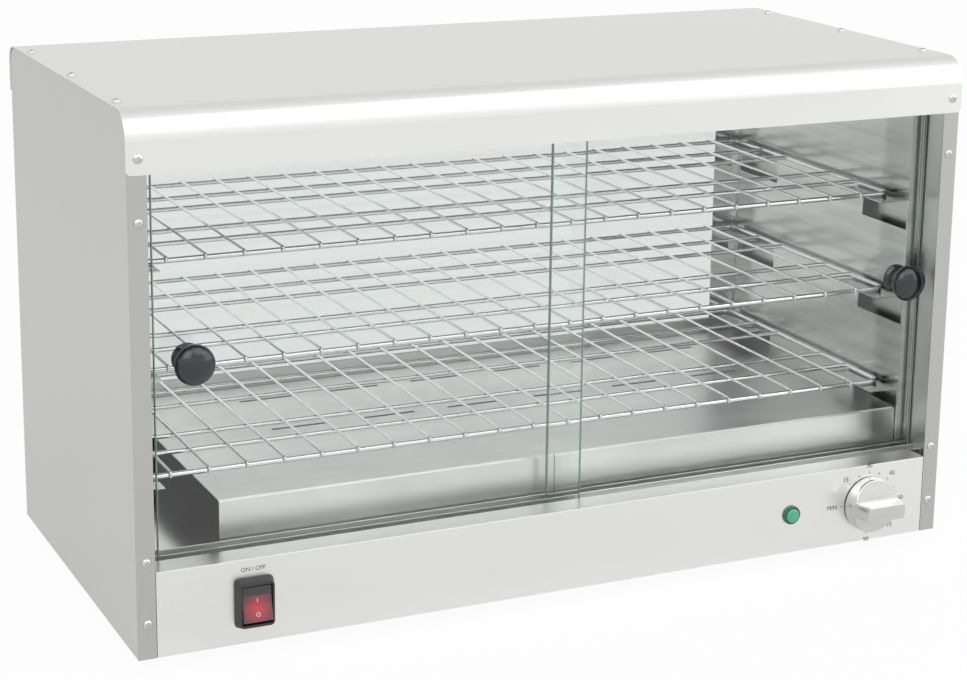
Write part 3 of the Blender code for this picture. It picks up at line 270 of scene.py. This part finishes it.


# Side panels: folded trays of satin stainless, screwed to the cover and the fascia. Their front flanges are
# the stiles, whose grain runs upright like the sides'; the stiles are painted darker than the sides, as
# painted shade on the faces turned to the viewer.
SIDE_TONE = 0.66
STILE_PAINTED_SHADE_TONE = 0.52
FLANGE_BACK_Y = -0.1706
SIDE_ROUGHNESS = 0.34
SIDE_SPREAD = 0.07
side_steel = Surface("side_steel", grey(SIDE_TONE), SIDE_ROUGHNESS, 1)
side_lines = side_steel.noise((GRAIN_ACROSS, GRAIN_ACROSS, GRAIN_ALONG), 2.0)
side_clouds = side_steel.noise((7, 7, 7), 4.0)
painted_shade_on_flange = side_steel.along("Y") < FLANGE_BACK_Y
# The front flanges get a darker tone than the sides of the same sheet: painted shade.
side_steel.set("Base Color", side_steel.tint(painted_shade_on_flange, grey(SIDE_TONE), grey(STILE_PAINTED_SHADE_TONE)))
side_shine = side_lines * 0.4 + side_clouds * 0.6
side_steel.uneven(side_shine, SIDE_ROUGHNESS - SIDE_SPREAD, SIDE_ROUGHNESS + SIDE_SPREAD)
side_steel.bump(side_lines, 0.10, GRAIN_DEPTH)
folded("left_side_panel", side_steel)
folded("right_side_panel", side_steel)


# Rear lower panel and base pan: plain folded sheets that close the case behind and below. The rear panel is
# of the sides' satin stainless, and the pan is duller.
PAN_TONE = 0.56
folded("rear_lower_panel", side_steel)
folded("base_pan", satin("pan_steel", PAN_TONE, 0.40, "X", 0.08))


# Front fascia: satin stainless with its grain along its length. Its top is folded back as a ledge with
# rounded ends, which reaches back to the door track.
FASCIA_TONE = 0.85
fascia_steel = satin("fascia_steel", FASCIA_TONE, 0.30, "X", 0.02)
folded("front_fascia", fascia_steel)


# Chamber: polished stainless liners and ceiling, spot-welded into the case. The rolled sheet bends
# reflections into long level streaks through its bump, and the same streaks are also painted into its colour,
# dark and light, as painted reflections.
LINER_PAINTED_STREAK_DARK = (0.40, 0.41, 0.395)
LINER_PAINTED_STREAK_LIGHT = (0.78, 0.79, 0.77)
WAVE_DEPTH = 0.0012
SMALL_BEND_RADIUS = 0.0006
liner_steel = Surface("liner_steel", grey(0.7), 0.16, 1)
streaks_and_painted_reflection = liner_steel.noise((5, 2.2, 70), 3.0)
waves = liner_steel.noise((3, 3, 12), 2.0)
# Painted reflection: the colour runs from dark to light along the level streaks.
liner_steel.set("Base Color", liner_steel.tint(streaks_and_painted_reflection, LINER_PAINTED_STREAK_DARK, LINER_PAINTED_STREAK_LIGHT))
liner_steel.uneven(streaks_and_painted_reflection, 0.10, 0.28)
liner_steel.bump(streaks_and_painted_reflection * 0.5 + waves, 0.45, WAVE_DEPTH)
for node in ("left_liner", "right_liner", "ceiling_liner"):
    folded(node, liner_steel, radius=SMALL_BEND_RADIUS)


# Element cover: a brushed sheet folded into a channel over the element and dulled by heat. Inside it is
# painted nearly black as shade, and a thin dark line is painted across its front.
COVER_DARK_LINE_X = 0.011
DARK_LINE_HALF_WIDTH = 0.0006
COVER_FRONT_Y = -0.1165
DARK_LINE_SHARE = 0.7
BRIDGE_DARK, BRIDGE_LIGHT = 0.70, 0.92
DRAWN_DEPTH = 0.00003
bridge_steel = Surface("bridge_steel", grey(0.8), 0.34, 1)
mottle = bridge_steel.noise((7, 13, 13), 5.0)
drawn = bridge_steel.noise((1200, 26, 1200), 2.0)
# A thin dark line is painted down the cover's front, over the mottle.
near_dark_line = abs(bridge_steel.along("X") - COVER_DARK_LINE_X) < DARK_LINE_HALF_WIDTH
on_dark_line = near_dark_line * (bridge_steel.along("Y") < COVER_FRONT_Y)
mottled = bridge_steel.tint(mottle.from_to(0.3, 0.7), grey(BRIDGE_DARK), grey(BRIDGE_LIGHT))
bridge_steel.set("Base Color", bridge_steel.tint(on_dark_line * DARK_LINE_SHARE, mottled, grey(0.12)))
bridge_steel.uneven(mottle, 0.24, 0.46)
bridge_steel.bump(drawn, 0.15, DRAWN_DEPTH)
# The channel's inward faces are painted nearly black: painted shade inside the cover.
painted_shade_inside = satin("painted_shade_steel", 0.13, 0.5, "X", 0.2)
folded("element_cover", bridge_steel, painted_shade_inside)


# Cabinet floor: a bright sheet under the cover, smooth enough to mirror the cover's dark end.
floor_steel = satin("floor_steel", 0.84, 0.20, "X", 0.05, 0.05)
folded("cabinet_floor", floor_steel, radius=SMALL_BEND_RADIUS)


# Heating element: a sheathed rod bent into a hairpin, which lies on two pressed clips.
sheath = satin("element_sheath", 0.26, 0.46, "X", 0.2)


def dress(surface, *names):
    for name in names:
        nodes[name].data.materials.clear()
        nodes[name].data.materials.append(surface.material)


dress(sheath, "heating_element")
zinc = satin("zinc_plate", 0.58, 0.34, "X", 0.1)
dress(zinc, "element_clip_left", "element_clip_right")


# Door tracks and rear glass channels: dull aluminium. The tracks are extruded with two grooves each, and the
# channels are folded with one.
TRACK_EDGE_RADIUS = 0.0003
TRACK_RIB = 0.0009
track_metal = satin("track_metal", 0.86, 0.38, "X", 0.04)
for node in ("front_bottom_track", "front_top_track", "rear_glass_bottom_channel", "rear_glass_top_channel"):
    folded(node, track_metal, radius=TRACK_EDGE_RADIUS, flange=TRACK_RIB)


# Rear uprights: narrow folded strips of polished stainless that hold the rear glass's ends and mirror the
# wires.
upright_steel = satin("upright_steel", 0.62, 0.09, "Z", 0.10, 0.04)
for node in ("rear_left_upright", "rear_right_upright"):
    folded(node, upright_steel, radius=SMALL_BEND_RADIUS)


# Glass: clear toughened panes, colourless through their faces and pale green at their ground edges.
DOOR_TINT = (0.975, 0.995, 0.985)
REAR_TINT = (0.935, 0.965, 0.950)
EDGE_GREEN = (0.40, 0.56, 0.51)
GLASS_EDGE_BAND = 0.0007


def glass(node, tint):
    pane = Surface(node + "_clear", tint, 0.0, 0, Transmission_Weight=1.0, IOR=1.5)
    low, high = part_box(node)
    near_x = abs(pane.along("X") - (low.x + high.x) / 2) > (high.x - low.x) / 2 - GLASS_EDGE_BAND
    near_z = abs(pane.along("Z") - (low.z + high.z) / 2) > (high.z - low.z) / 2 - GLASS_EDGE_BAND
    ground = {"Base Color": EDGE_GREEN, "Roughness": 0.22, "Transmission Weight": 0.35}
    rim = pane.node("ShaderNodeBsdfPrincipled", {}, ground)
    clear = Term(pane, pane.shader.outputs[0])
    joined = pane.node("ShaderNodeMixShader", {}, {0: near_x.most(near_z), 1: clear, 2: rim})
    pane.feed(pane.tree.nodes["Material Output"].inputs["Surface"], joined)
    dress(pane, node)


glass("left_door_glass", DOOR_TINT)
glass("right_door_glass", DOOR_TINT)
glass("rear_glass", REAR_TINT)


# Door knobs: glossy black phenolic mushrooms, each turned in one piece and held by a screw through the glass.
KNOB_BLACK = (0.012, 0.014, 0.022)
KNOB_SIDES = 64
KNOB_HEAD_RADIUS = 0.0165
KNOB_HEAD_BACK = 0.012
KNOB_HEAD_RISE = 0.0095
KNOB_HEAD_TURN_DEG = 135
KNOB_HEAD_STEPS = 24
KNOB_NECK = [
    (0.0105, 0.0125), (0.0097, 0.0112), (0.0095, 0.0095), (0.0095, 0.0052), (0.0102, 0.0038),
    (0.0119, 0.0026), (0.0125, 0.0018), (0.0125, 0.0003), (0.0122, 0.0), (0, 0),
]
POLE_MERGE = 0.000001


def lathe(profile, sides, place):
    """A closed turned mesh. The profile holds (radius, distance in front), and the axis points towards -Y."""
    bm = bmesh.new()
    points = [bm.verts.new((radius, -ahead, 0)) for radius, ahead in profile]
    lines = [bm.edges.new(pair) for pair in zip(points, points[1:])]
    bmesh.ops.spin(
        bm, geom=points + lines, cent=(0, 0, 0), axis=(0, 1, 0), angle=2 * math.pi, steps=sides,
        use_merge=True,
    )
    bmesh.ops.remove_doubles(bm, verts=bm.verts[:], dist=POLE_MERGE)
    bmesh.ops.recalc_face_normals(bm, faces=bm.faces[:])
    bmesh.ops.translate(bm, vec=place, verts=bm.verts[:])
    return bm


knob_head = [
    (KNOB_HEAD_RADIUS * math.sin(turn), KNOB_HEAD_BACK + KNOB_HEAD_RISE * (1 + math.cos(turn)))
    for turn in (
        math.radians(KNOB_HEAD_TURN_DEG) * k / KNOB_HEAD_STEPS for k in range(KNOB_HEAD_STEPS + 1)
    )
]
knob_black = Surface("knob_black", KNOB_BLACK, 0.16, 0, Coat_Weight=0.5, Coat_Roughness=0.05)
knob_marks = knob_black.noise((160, 160, 160), 4.0)
knob_black.uneven(knob_marks, 0.12, 0.26)
knob_black.bump(knob_marks, 0.05, 0.0002)
for side in ("left", "right"):
    low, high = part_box(side + "_door_knob")
    seat = ((low.x + high.x) / 2, high.y, (low.z + high.z) / 2)
    turned = as_mesh(lathe(knob_head + KNOB_NECK, KNOB_SIDES, seat), side + "_knob_turned")
    knob = side + "_door_knob"
    collect(side + "_knob_turned", turned, [knob_black], side + "_door", [knob])
dress(zinc, "left_door_knob_screw", "right_door_knob_screw")


# Screws: domed heads of zinc-plated steel with a cross recess, driven into the folded flanges.
HEAD_RADIUS = 0.0039
HEAD_RISE = 0.0021
RECESS_HALF_WIDTH = 0.00055
RECESS_HALF_LENGTH = 0.0023
RECESS_DEPTH = 0.0013
HEAD_SIDES = 28
DOME_STEPS = 8
FIRST_DRIVE_DEG, NEXT_DRIVE_DEG = 23, 47
HOOD_SCREWS_AT = (0.3672, -0.17365, 0.4116)
REAR_HOOD_SCREWS_AT = (0.3672, 0.18635, 0.4190)
STILE_SCREWS_X = 0.3674
STILE_SCREWS_Z = (0.041, 0.092, 0.362)
STILE_FRONT_Y = -0.17235
REAR_FLANGE_Y = 0.18505
ROOF_SCREWS_X = 0.3685
ROOF_Z = 0.447
ROOF_SCREWS_Y = (-0.12365, 0.00635, 0.13635)
SIDE_SCREW_AT = (0.3755, -0.1580, 0.0505)
screw_steel = Surface("screw_steel", grey(0.7), 0.22, 1)
screw_wear = screw_steel.noise((900, 900, 900), 3.0)
screw_steel.set("Base Color", screw_steel.tint(screw_wear, grey(0.45), grey(0.80)))
screw_steel.uneven(screw_wear, 0.14, 0.34)


def cut(name, solid, tools):
    """The solid less the tools, as a new mesh."""
    target = bpy.data.objects.new(name, as_mesh(solid, name))
    bpy.context.scene.collection.objects.link(target)
    helpers = []
    for number, tool in enumerate(tools):
        helper = bpy.data.objects.new(name + str(number), as_mesh(tool, name + str(number)))
        bpy.context.scene.collection.objects.link(helper)
        modifier = target.modifiers.new("cut", "BOOLEAN")
        modifier.operation = "DIFFERENCE"
        modifier.solver = "EXACT"
        modifier.object = helper
        helpers.append(helper)
    bpy.context.view_layer.update()
    depsgraph = bpy.context.evaluated_depsgraph_get()
    mesh = bpy.data.meshes.new_from_object(target.evaluated_get(depsgraph))
    for thing in (target, *helpers):
        bpy.data.objects.remove(thing)
    return mesh


def cuboid(low, high):
    bm = bmesh.new()
    made = bmesh.ops.create_cube(bm, size=1)
    bmesh.ops.scale(bm, vec=[b - a for a, b in zip(low, high)], verts=made["verts"])
    bmesh.ops.translate(bm, vec=[(a + b) / 2 for a, b in zip(low, high)], verts=made["verts"])
    return bm


dome = [
    (HEAD_RADIUS * math.sin(turn), HEAD_RISE * math.cos(turn))
    for turn in (math.pi / 2 * k / DOME_STEPS for k in range(DOME_STEPS + 1))
]
ahead, half, reach = -2 * HEAD_RISE, RECESS_HALF_WIDTH, RECESS_HALF_LENGTH
head = cut(
    "screw_head",
    lathe([*dome, (0, 0)], HEAD_SIDES, (0, 0, 0)),
    [
        cuboid((-half, ahead, -reach), (half, RECESS_DEPTH - HEAD_RISE, reach)),
        cuboid((-reach, ahead, -half), (reach, RECESS_DEPTH - HEAD_RISE, half)),
    ],
)


def screws(name, turn, places):
    """Copies of the head, which faces -Y until turned, each driven home at another angle."""
    bm = bmesh.new()
    for number, place in enumerate(places):
        one = head.copy()
        driven = Matrix.Rotation(math.radians(FIRST_DRIVE_DEG + NEXT_DRIVE_DEG * number), 4, "Y")
        one.transform(Matrix.Translation(place) @ Euler(turn).to_matrix().to_4x4() @ driven)
        bm.from_mesh(one)
    collect(name, as_mesh(bm, name), [screw_steel], "case", ())


def both_sides(place):
    return [(side * place[0], place[1], place[2]) for side in (-1, 1)]


quarter = math.pi / 2
screws("hood_screws", (0, 0, 0), both_sides(HOOD_SCREWS_AT))
stile_places = [at for z in STILE_SCREWS_Z for at in both_sides((STILE_SCREWS_X, STILE_FRONT_Y, z))]
screws("stile_screws", (0, 0, 0), stile_places)
roof_places = [at for y in ROOF_SCREWS_Y for at in both_sides((ROOF_SCREWS_X, y, ROOF_Z))]
screws("roof_screws", (-quarter, 0, 0), roof_places)
rear_places = [at for z in STILE_SCREWS_Z for at in both_sides((STILE_SCREWS_X, REAR_FLANGE_Y, z))]
screws("rear_screws", (0, 0, math.pi), rear_places + both_sides(REAR_HOOD_SCREWS_AT))
screws("side_screw", (0, 0, quarter), [SIDE_SCREW_AT])


# Wire shelves: chromed steel wire. A bent frame carries four long wires and 21 cross wires, which are welded
# on top and turn down over the front. Each shelf rests on flaps punched from the liners.
WIRE_LEVELS = (
    ("top_shelf", "upper_shelf", 0.313),
    ("middle_shelf", "centre_shelf", 0.224),
    ("bottom_shelf", "lower_shelf", 0.135),
)
WIRE_FRONT_Y = -0.09765
WIRE_DEPTH = 0.270
WIRE_HALF = 0.35775
WIRE_CORNER = 0.010
FRAME_RADIUS = 0.00225
LONG_RADIUS = 0.0020
CROSS_RADIUS = 0.00125
LONG_WIRE_SHARES = (0.2, 0.355, 0.645, 0.8)
LONG_RISE = 0.00025
CROSS_RISE = 0.0032
CROSS_SPACES = 22
CROSS_BEND = 0.0015
CROSS_TIP = 0.0045
CROSS_OVERRUN = 0.001
CORNER_STEPS = 8
FOLD_STEPS = 5
WIRE_DARK = (0.66, 0.67, 0.69)
WIRE_LIGHT = (0.88, 0.88, 0.89)
chrome = Surface("chromed_wire", grey(0.8), 0.08, 1)
chrome_wear = chrome.noise((240, 240, 240), 3.0)
chrome.set("Base Color", chrome.tint(chrome_wear, WIRE_DARK, WIRE_LIGHT))
chrome.uneven(chrome_wear, 0.05, 0.16)


def rods(name, runs):
    """One mesh of round wires. Each run is (points, radius, closed)."""
    bm = bmesh.new()
    for points, radius, closed in runs:
        curve = bpy.data.curves.new(name, "CURVE")
        curve.dimensions = "3D"
        curve.bevel_depth = radius
        curve.bevel_resolution = 3
        curve.use_fill_caps = True
        spline = curve.splines.new("POLY")
        spline.points.add(len(points) - 1)
        for point, place in zip(spline.points, points):
            point.co = (*place, 1)
        spline.use_cyclic_u = closed
        thing = bpy.data.objects.new(name, curve)
        bm.from_mesh(bpy.data.meshes.new_from_object(thing))
        bpy.data.objects.remove(thing)
    return bm


def bend(centre, radius, start, steps):
    """Points on a quarter turn."""
    turns = [start + quarter * k / steps for k in range(steps + 1)]
    return [(centre[0] + radius * math.cos(turn), centre[1] + radius * math.sin(turn)) for turn in turns]


wire_back_y = WIRE_FRONT_Y + WIRE_DEPTH
corner_x = WIRE_HALF - WIRE_CORNER
near_y, far_y = WIRE_FRONT_Y + WIRE_CORNER, wire_back_y - WIRE_CORNER
wire_corners = ((corner_x, near_y), (corner_x, far_y), (-corner_x, far_y), (-corner_x, near_y))
for shelf, body, level in WIRE_LEVELS:
    loop = []
    for number, corner in enumerate(wire_corners):
        turned = bend(corner, WIRE_CORNER, (number - 1) * quarter, CORNER_STEPS)
        loop += [(x, y, level) for x, y in turned]
    runs = [(loop, FRAME_RADIUS, True)]
    for along in LONG_WIRE_SHARES:
        y, z = WIRE_FRONT_Y + along * WIRE_DEPTH, level + LONG_RISE
        runs.append(([(-WIRE_HALF, y, z), (WIRE_HALF, y, z)], LONG_RADIUS, False))
    tip_y, cross_z = WIRE_FRONT_Y - CROSS_RISE, level + CROSS_RISE
    fold = bend((tip_y + CROSS_BEND, cross_z - CROSS_BEND), CROSS_BEND, quarter, FOLD_STEPS)
    for number in range(1, CROSS_SPACES):
        x = (2 * number / CROSS_SPACES - 1) * WIRE_HALF
        turned = [(x, y, z) for y, z in fold]
        line = [(x, wire_back_y + CROSS_OVERRUN, cross_z), *turned, (x, tip_y, cross_z - CROSS_TIP)]
        runs.append((line, CROSS_RADIUS, False))
    mesh = as_mesh(rods(shelf + "_wires", runs), shelf + "_wires")
    collect(shelf + "_wires", mesh, [chrome], body, [shelf], 60)


# Thermostat dial: a turned and milled chromed knob, pressed on the shaft. Its bar grip stands between two
# scoops.
DIAL_AT = (0.3018, -0.17335, 0.0474)
DIAL_PROFILE = [
    (0, 0.0300), (0.0180, 0.0300), (0.0187, 0.0298), (0.0193, 0.0293), (0.0195, 0.0286),
    (0.0222, 0.0180), (0.0247, 0.0082), (0.0250, 0.0066), (0.0250, 0.0006), (0.0246, 0), (0, 0),
]
SCOOP_OUTLINE = [(-0.034, 0.0068), (-0.0140, 0.0068), (-0.0080, 0.030), (-0.034, 0.030)]
SCOOP_HALF_WIDTH = 0.030
DIAL_SIDES = 96
DIAL_EDGE = 0.0005
DIAL_SHARP_DEG = 28
dial_metal = Surface("dial_chrome", grey(0.66), 0.22, 1)
dial_lines = dial_metal.noise((40, 40, 2600), 2.0)
dial_metal.set("Base Color", dial_metal.tint(dial_lines, grey(0.56), grey(0.74)))
dial_metal.uneven(dial_lines, 0.14, 0.26)


def scoop(rise):
    """A wedge cut away above (rise 1) or below (rise -1) the grip."""
    bm = bmesh.new()
    bm.faces.new([bm.verts.new((-SCOOP_HALF_WIDTH, y, rise * z)) for y, z in SCOOP_OUTLINE])
    grown = bmesh.ops.extrude_face_region(bm, geom=bm.faces[:])["geom"]
    far = [v for v in grown if isinstance(v, bmesh.types.BMVert)]
    bmesh.ops.translate(bm, vec=(2 * SCOOP_HALF_WIDTH, 0, 0), verts=far)
    bmesh.ops.recalc_face_normals(bm, faces=bm.faces[:])
    return bm


milled = cut("dial", lathe(DIAL_PROFILE, DIAL_SIDES, (0, 0, 0)), [scoop(1), scoop(-1)])
milled.transform(Matrix.Translation(DIAL_AT))
dial = collect(
    "dial_milled", milled, [dial_metal], "dial", ["thermostat_knob"], DIAL_SHARP_DEG
)
edge = dial.modifiers.new("edge", "BEVEL")
edge.width = DIAL_EDGE
edge.segments = 2
edge.limit_method = "ANGLE"
edge.angle_limit = math.radians(DIAL_SHARP_DEG)


# Print on the fascia: small dark letters, numbers and ticks, silk-screened on the steel.
PRINT_Y = -0.17241
INK_THICKNESS = 0.00003
LABEL_SIZE = 0.0050
LABEL_X, LABEL_Z = -0.2804, 0.0743
NUMBER_SIZE = 0.0060
TICK_RADIUS = 0.0284
NUMBER_RADIUS = 0.0350
MIN_EXTRA = 0.003
TICK_SIZE = (0.0022, 0.00006, 0.0006)
SCALE = (("MIN", 180), ("15", 135), ("30", 90), ("45", 45), ("60", 0), ("75", -45), ("90", -90))
SMALL_TICKS_DEG = (112.5, 67.5, 22.5, -22.5, -67.5)
print_ink = Surface("print_ink", (0.03, 0.03, 0.035), 0.5)
print_ink.uneven(print_ink.noise((900, 900, 900)), 0.4, 0.6)


def lettering(text, size):
    """A flat mesh of text that faces -Y, centred on the origin."""
    font = bpy.data.curves.new("text", "FONT")
    font.body = text
    font.size = size
    font.align_x = "CENTER"
    font.align_y = "CENTER"
    font.resolution_u = 3
    font.extrude = INK_THICKNESS
    thing = bpy.data.objects.new("text", font)
    bpy.context.scene.collection.objects.link(thing)
    bpy.context.view_layer.update()
    mesh = bpy.data.meshes.new_from_object(thing.evaluated_get(bpy.context.evaluated_depsgraph_get()))
    bpy.data.objects.remove(thing)
    mesh.transform(Matrix.Rotation(quarter, 4, "X"))
    return mesh


marks = bmesh.new()
label = lettering("ON / OFF", LABEL_SIZE)
label.transform(Matrix.Translation((LABEL_X, PRINT_Y, LABEL_Z)))
marks.from_mesh(label)
for text, angle in SCALE:
    away = NUMBER_RADIUS + (MIN_EXTRA if text == "MIN" else 0)
    x, z = away * math.cos(math.radians(angle)), away * math.sin(math.radians(angle))
    label = lettering(text, NUMBER_SIZE)
    label.transform(Matrix.Translation((DIAL_AT[0] + x, PRINT_Y, DIAL_AT[2] + z)))
    marks.from_mesh(label)
for angle in [angle for text, angle in SCALE] + list(SMALL_TICKS_DEG):
    tick = cuboid([-side / 2 for side in TICK_SIZE], [side / 2 for side in TICK_SIZE])
    bmesh.ops.translate(tick, vec=(TICK_RADIUS, 0, 0), verts=tick.verts[:])
    bmesh.ops.rotate(tick, matrix=Matrix.Rotation(-math.radians(angle), 3, "Y"), verts=tick.verts[:])
    bmesh.ops.translate(tick, vec=(DIAL_AT[0], PRINT_Y, DIAL_AT[2]), verts=tick.verts[:])
    marks.from_mesh(as_mesh(tick, "tick"))
collect("fascia_print", as_mesh(marks, "fascia_print"), [print_ink], "case")


# Switch: a matt black rubbery surround, snapped into the fascia, and a rocker with a translucent red window
# that is marked I and O.
ROCKER_AT = (-0.28, -0.17665, 0.0468)
ROCKER_TILT_DEG = -9
ROCKER_LEAN_DEG = 5.1
WINDOW_TOP_Z = 0.0548
WINDOW_HALF_X = 0.0119
WINDOW_CORNER = 0.003
GLOW_Z = 0.0435
GLOW_SIZE = 0.0125
RED_EDGE = (0.17, 0.045, 0.06)
RED_MIDDLE = (0.62, 0.05, 0.065)
LEGEND = (("I", 0.0030), ("O", -0.0085))
LEGEND_SIZE = 0.0048
LEGEND_AHEAD = 0.00432
ROCKER_CROWN = 0.0013
ROCKER_HALF_HEIGHT = 0.0145
rubber = Surface("switch_rubber", (0.040, 0.041, 0.043), 0.52)
rubber_grain = rubber.noise((1500, 1500, 1500), 2.0)
rubber.uneven(rubber_grain, 0.42, 0.62)
rubber.bump(rubber_grain, 0.15, 0.0001)
dress(rubber, "switch_bezel")
red = Surface("rocker_red", (0.4, 0.05, 0.07), 0.2, 0, Coat_Weight=0.4, Coat_Roughness=0.08)
from_middle = abs(red.along("X") - ROCKER_AT[0])
past_x = (from_middle - (WINDOW_HALF_X - WINDOW_CORNER)).most(0.0)
past_z = (red.along("Z") - (WINDOW_TOP_Z - WINDOW_CORNER)).most(0.0)
in_window = (past_x * past_x + past_z * past_z) < WINDOW_CORNER * WINDOW_CORNER
from_glow = red.along("Z") - GLOW_Z
from_spot = red.math("SQRT", from_middle * from_middle + from_glow * from_glow)
glow = 1 - from_spot * (1 / GLOW_SIZE)
lit = red.tint(glow.most(0.0), RED_EDGE, RED_MIDDLE)
red.set("Base Color", red.tint(in_window, (0.04, 0.04, 0.042), lit))
dress(red, "switch_rocker")
white_ink = Surface("white_ink", (0.85, 0.78, 0.78), 0.45)
white_ink.uneven(white_ink.noise((900, 900, 900)), 0.35, 0.55)
tilt = Matrix.Translation(ROCKER_AT) @ Matrix.Rotation(math.radians(ROCKER_TILT_DEG), 4, "X")
legend = bmesh.new()
for text, height in LEGEND:
    label = lettering(text, LEGEND_SIZE)
    face_y = -LEGEND_AHEAD - ROCKER_CROWN * abs(height) / ROCKER_HALF_HEIGHT
    lean = Matrix.Rotation(math.copysign(math.radians(ROCKER_LEAN_DEG), height), 4, "X")
    label.transform(tilt @ Matrix.Translation((0, face_y, height)) @ lean)
    legend.from_mesh(label)
collect("rocker_marks", as_mesh(legend, "rocker_marks"), [white_ink], "rocker")


# Pilot lamp: a green translucent dome in a dark green rim, pushed into the fascia.
LAMP_AT = (0.221, -0.17265, 0.0473)
LENS_RADIUS = 0.0062
LENS_RISE = 0.0018
LENS_SHOULDER = 0.0030
LENS_BACK = 0.0012
LENS_STEPS = 10
LAMP_SIDES = 48
GREEN_DARK = (0.035, 0.32, 0.19)
GREEN_LIGHT = (0.09, 0.52, 0.32)
RIM_PROFILE = [
    (0, 0.0008), (0.00655, 0.0008), (0.00655, 0.0021), (0.0074, 0.0021), (0.0083, 0.0016),
    (0.0086, 0.0004), (0.0086, 0.0), (0, 0.0),
]
green = Surface("lamp_green", (0.05, 0.42, 0.24), 0.14, 0, Coat_Weight=0.6, Coat_Roughness=0.05)
green_depth = green.noise((700, 700, 700), 2.0)
green.set("Base Color", green.tint(green_depth, GREEN_DARK, GREEN_LIGHT))
rim_green = Surface("lamp_rim", (0.020, 0.12, 0.08), 0.3, 0, Coat_Weight=0.3)
rim_green.uneven(rim_green.noise((900, 900, 900)), 0.22, 0.4)
lens_dome = [
    (LENS_RADIUS * math.sin(turn), LENS_SHOULDER + LENS_RISE * math.cos(turn))
    for turn in (math.pi / 2 * k / LENS_STEPS for k in range(LENS_STEPS + 1))
]
lens_profile = [*lens_dome, (LENS_RADIUS, LENS_BACK), (0, LENS_BACK)]
lens_mesh = as_mesh(lathe(lens_profile, LAMP_SIDES, LAMP_AT), "lamp_dome")
collect("lamp_dome", lens_mesh, [green], "case", ["pilot_lamp_lens"])
rim_mesh = as_mesh(lathe(RIM_PROFILE, LAMP_SIDES, LAMP_AT), "lamp_collar")
collect("lamp_collar", rim_mesh, [rim_green], "case", ())
dress(rubber, "pilot_lamp_body")


# Thermostat and wiring pieces: plated body and shaft behind the fascia, copper capillary, moulded terminal
# block, and the cord gland at the rear.
dress(zinc, "thermostat_body", "thermostat_shaft")
copper = Surface("capillary_copper", (0.62, 0.33, 0.20), 0.30, 1)
copper.uneven(copper.noise((300, 300, 300)), 0.22, 0.42)
dress(copper, "thermostat_capillary")
black_plastic = Surface("black_plastic", (0.03, 0.03, 0.03), 0.5)
black_plastic.uneven(black_plastic.noise((800, 800, 800)), 0.4, 0.6)
dress(black_plastic, "terminal_block", "cord_gland")


# Feet: soft black rubber, screwed under the base pan.
foot_rubber = Surface("foot_rubber", (0.025, 0.025, 0.025), 0.7)
foot_rubber.uneven(foot_rubber.noise((900, 900, 900)), 0.6, 0.8)
dress(foot_rubber, "front_left_foot", "front_right_foot", "rear_left_foot", "rear_right_foot")


# Stage: a pale floor and a white world for what the camera, metal and glass see, and soft light for the
# rest.
FLOOR_HALF = 12.0
FLOOR_WHITE = 0.86
FLOOR_SEEN = 0.95
FLOOR_MIRRORED = 0.35
WORLD_SOFT = 0.62
LIGHTS_AIM = Vector((0, 0, 0.2))
LIGHTS = (
    ("key_light", (-1.6, -2.2, 2.6), 2.4, 26),
    ("roof_light", (0.8, -1.6, 2.4), 2.0, 13),
    ("fill_light", (2.4, -1.6, 1.4), 2.2, 14),
)


def seen_by(surface, kind):
    return surface.node("ShaderNodeLightPath", {}, {}, kind)


ground = Surface("floor_white", (FLOOR_WHITE,) * 3, 0.8)
ground.uneven(ground.noise((3, 3, 3)), 0.75, 0.85)
mirrored = seen_by(ground, "Is Glossy Ray").most(seen_by(ground, "Is Transmission Ray"))
share = (seen_by(ground, "Is Camera Ray") * FLOOR_SEEN).most(mirrored * FLOOR_MIRRORED)
white = ground.node("ShaderNodeEmission", {}, {"Color": (1, 1, 1), "Strength": 1.0})
matt = Term(ground, ground.shader.outputs[0])
mixed = ground.node("ShaderNodeMixShader", {}, {0: share, 1: matt, 2: white})
ground.feed(ground.tree.nodes["Material Output"].inputs["Surface"], mixed)
plane = bmesh.new()
bmesh.ops.create_grid(plane, x_segments=1, y_segments=1, size=FLOOR_HALF)
floor = bpy.data.objects.new("floor", as_mesh(plane, "floor"))
floor.data.materials.append(ground.material)
bpy.context.scene.collection.objects.link(floor)


class Sky(Surface):
    """The world's nodes, handled as a material's are."""

    def __init__(self, world):
        self.tree = world.node_tree
        self.shader = self.tree.nodes["Background"]


world = bpy.data.worlds.new("studio")
bpy.context.scene.world = world
world.use_nodes = True
sky = Sky(world)
in_view = seen_by(sky, "Is Camera Ray").most(seen_by(sky, "Is Glossy Ray"))
in_view = in_view.most(seen_by(sky, "Is Transmission Ray"))
sky.set("Strength", in_view * (1 - WORLD_SOFT) + WORLD_SOFT)
sky.set("Color", (1, 1, 1))

for name, place, size, power in LIGHTS:
    lamp = bpy.data.lights.new(name, "AREA")
    lamp.energy = power
    lamp.size = size
    holder = bpy.data.objects.new(name, lamp)
    holder.location = place
    holder.rotation_euler = (LIGHTS_AIM - Vector(place)).to_track_quat("-Z", "Y").to_euler()
    bpy.context.scene.collection.objects.link(holder)
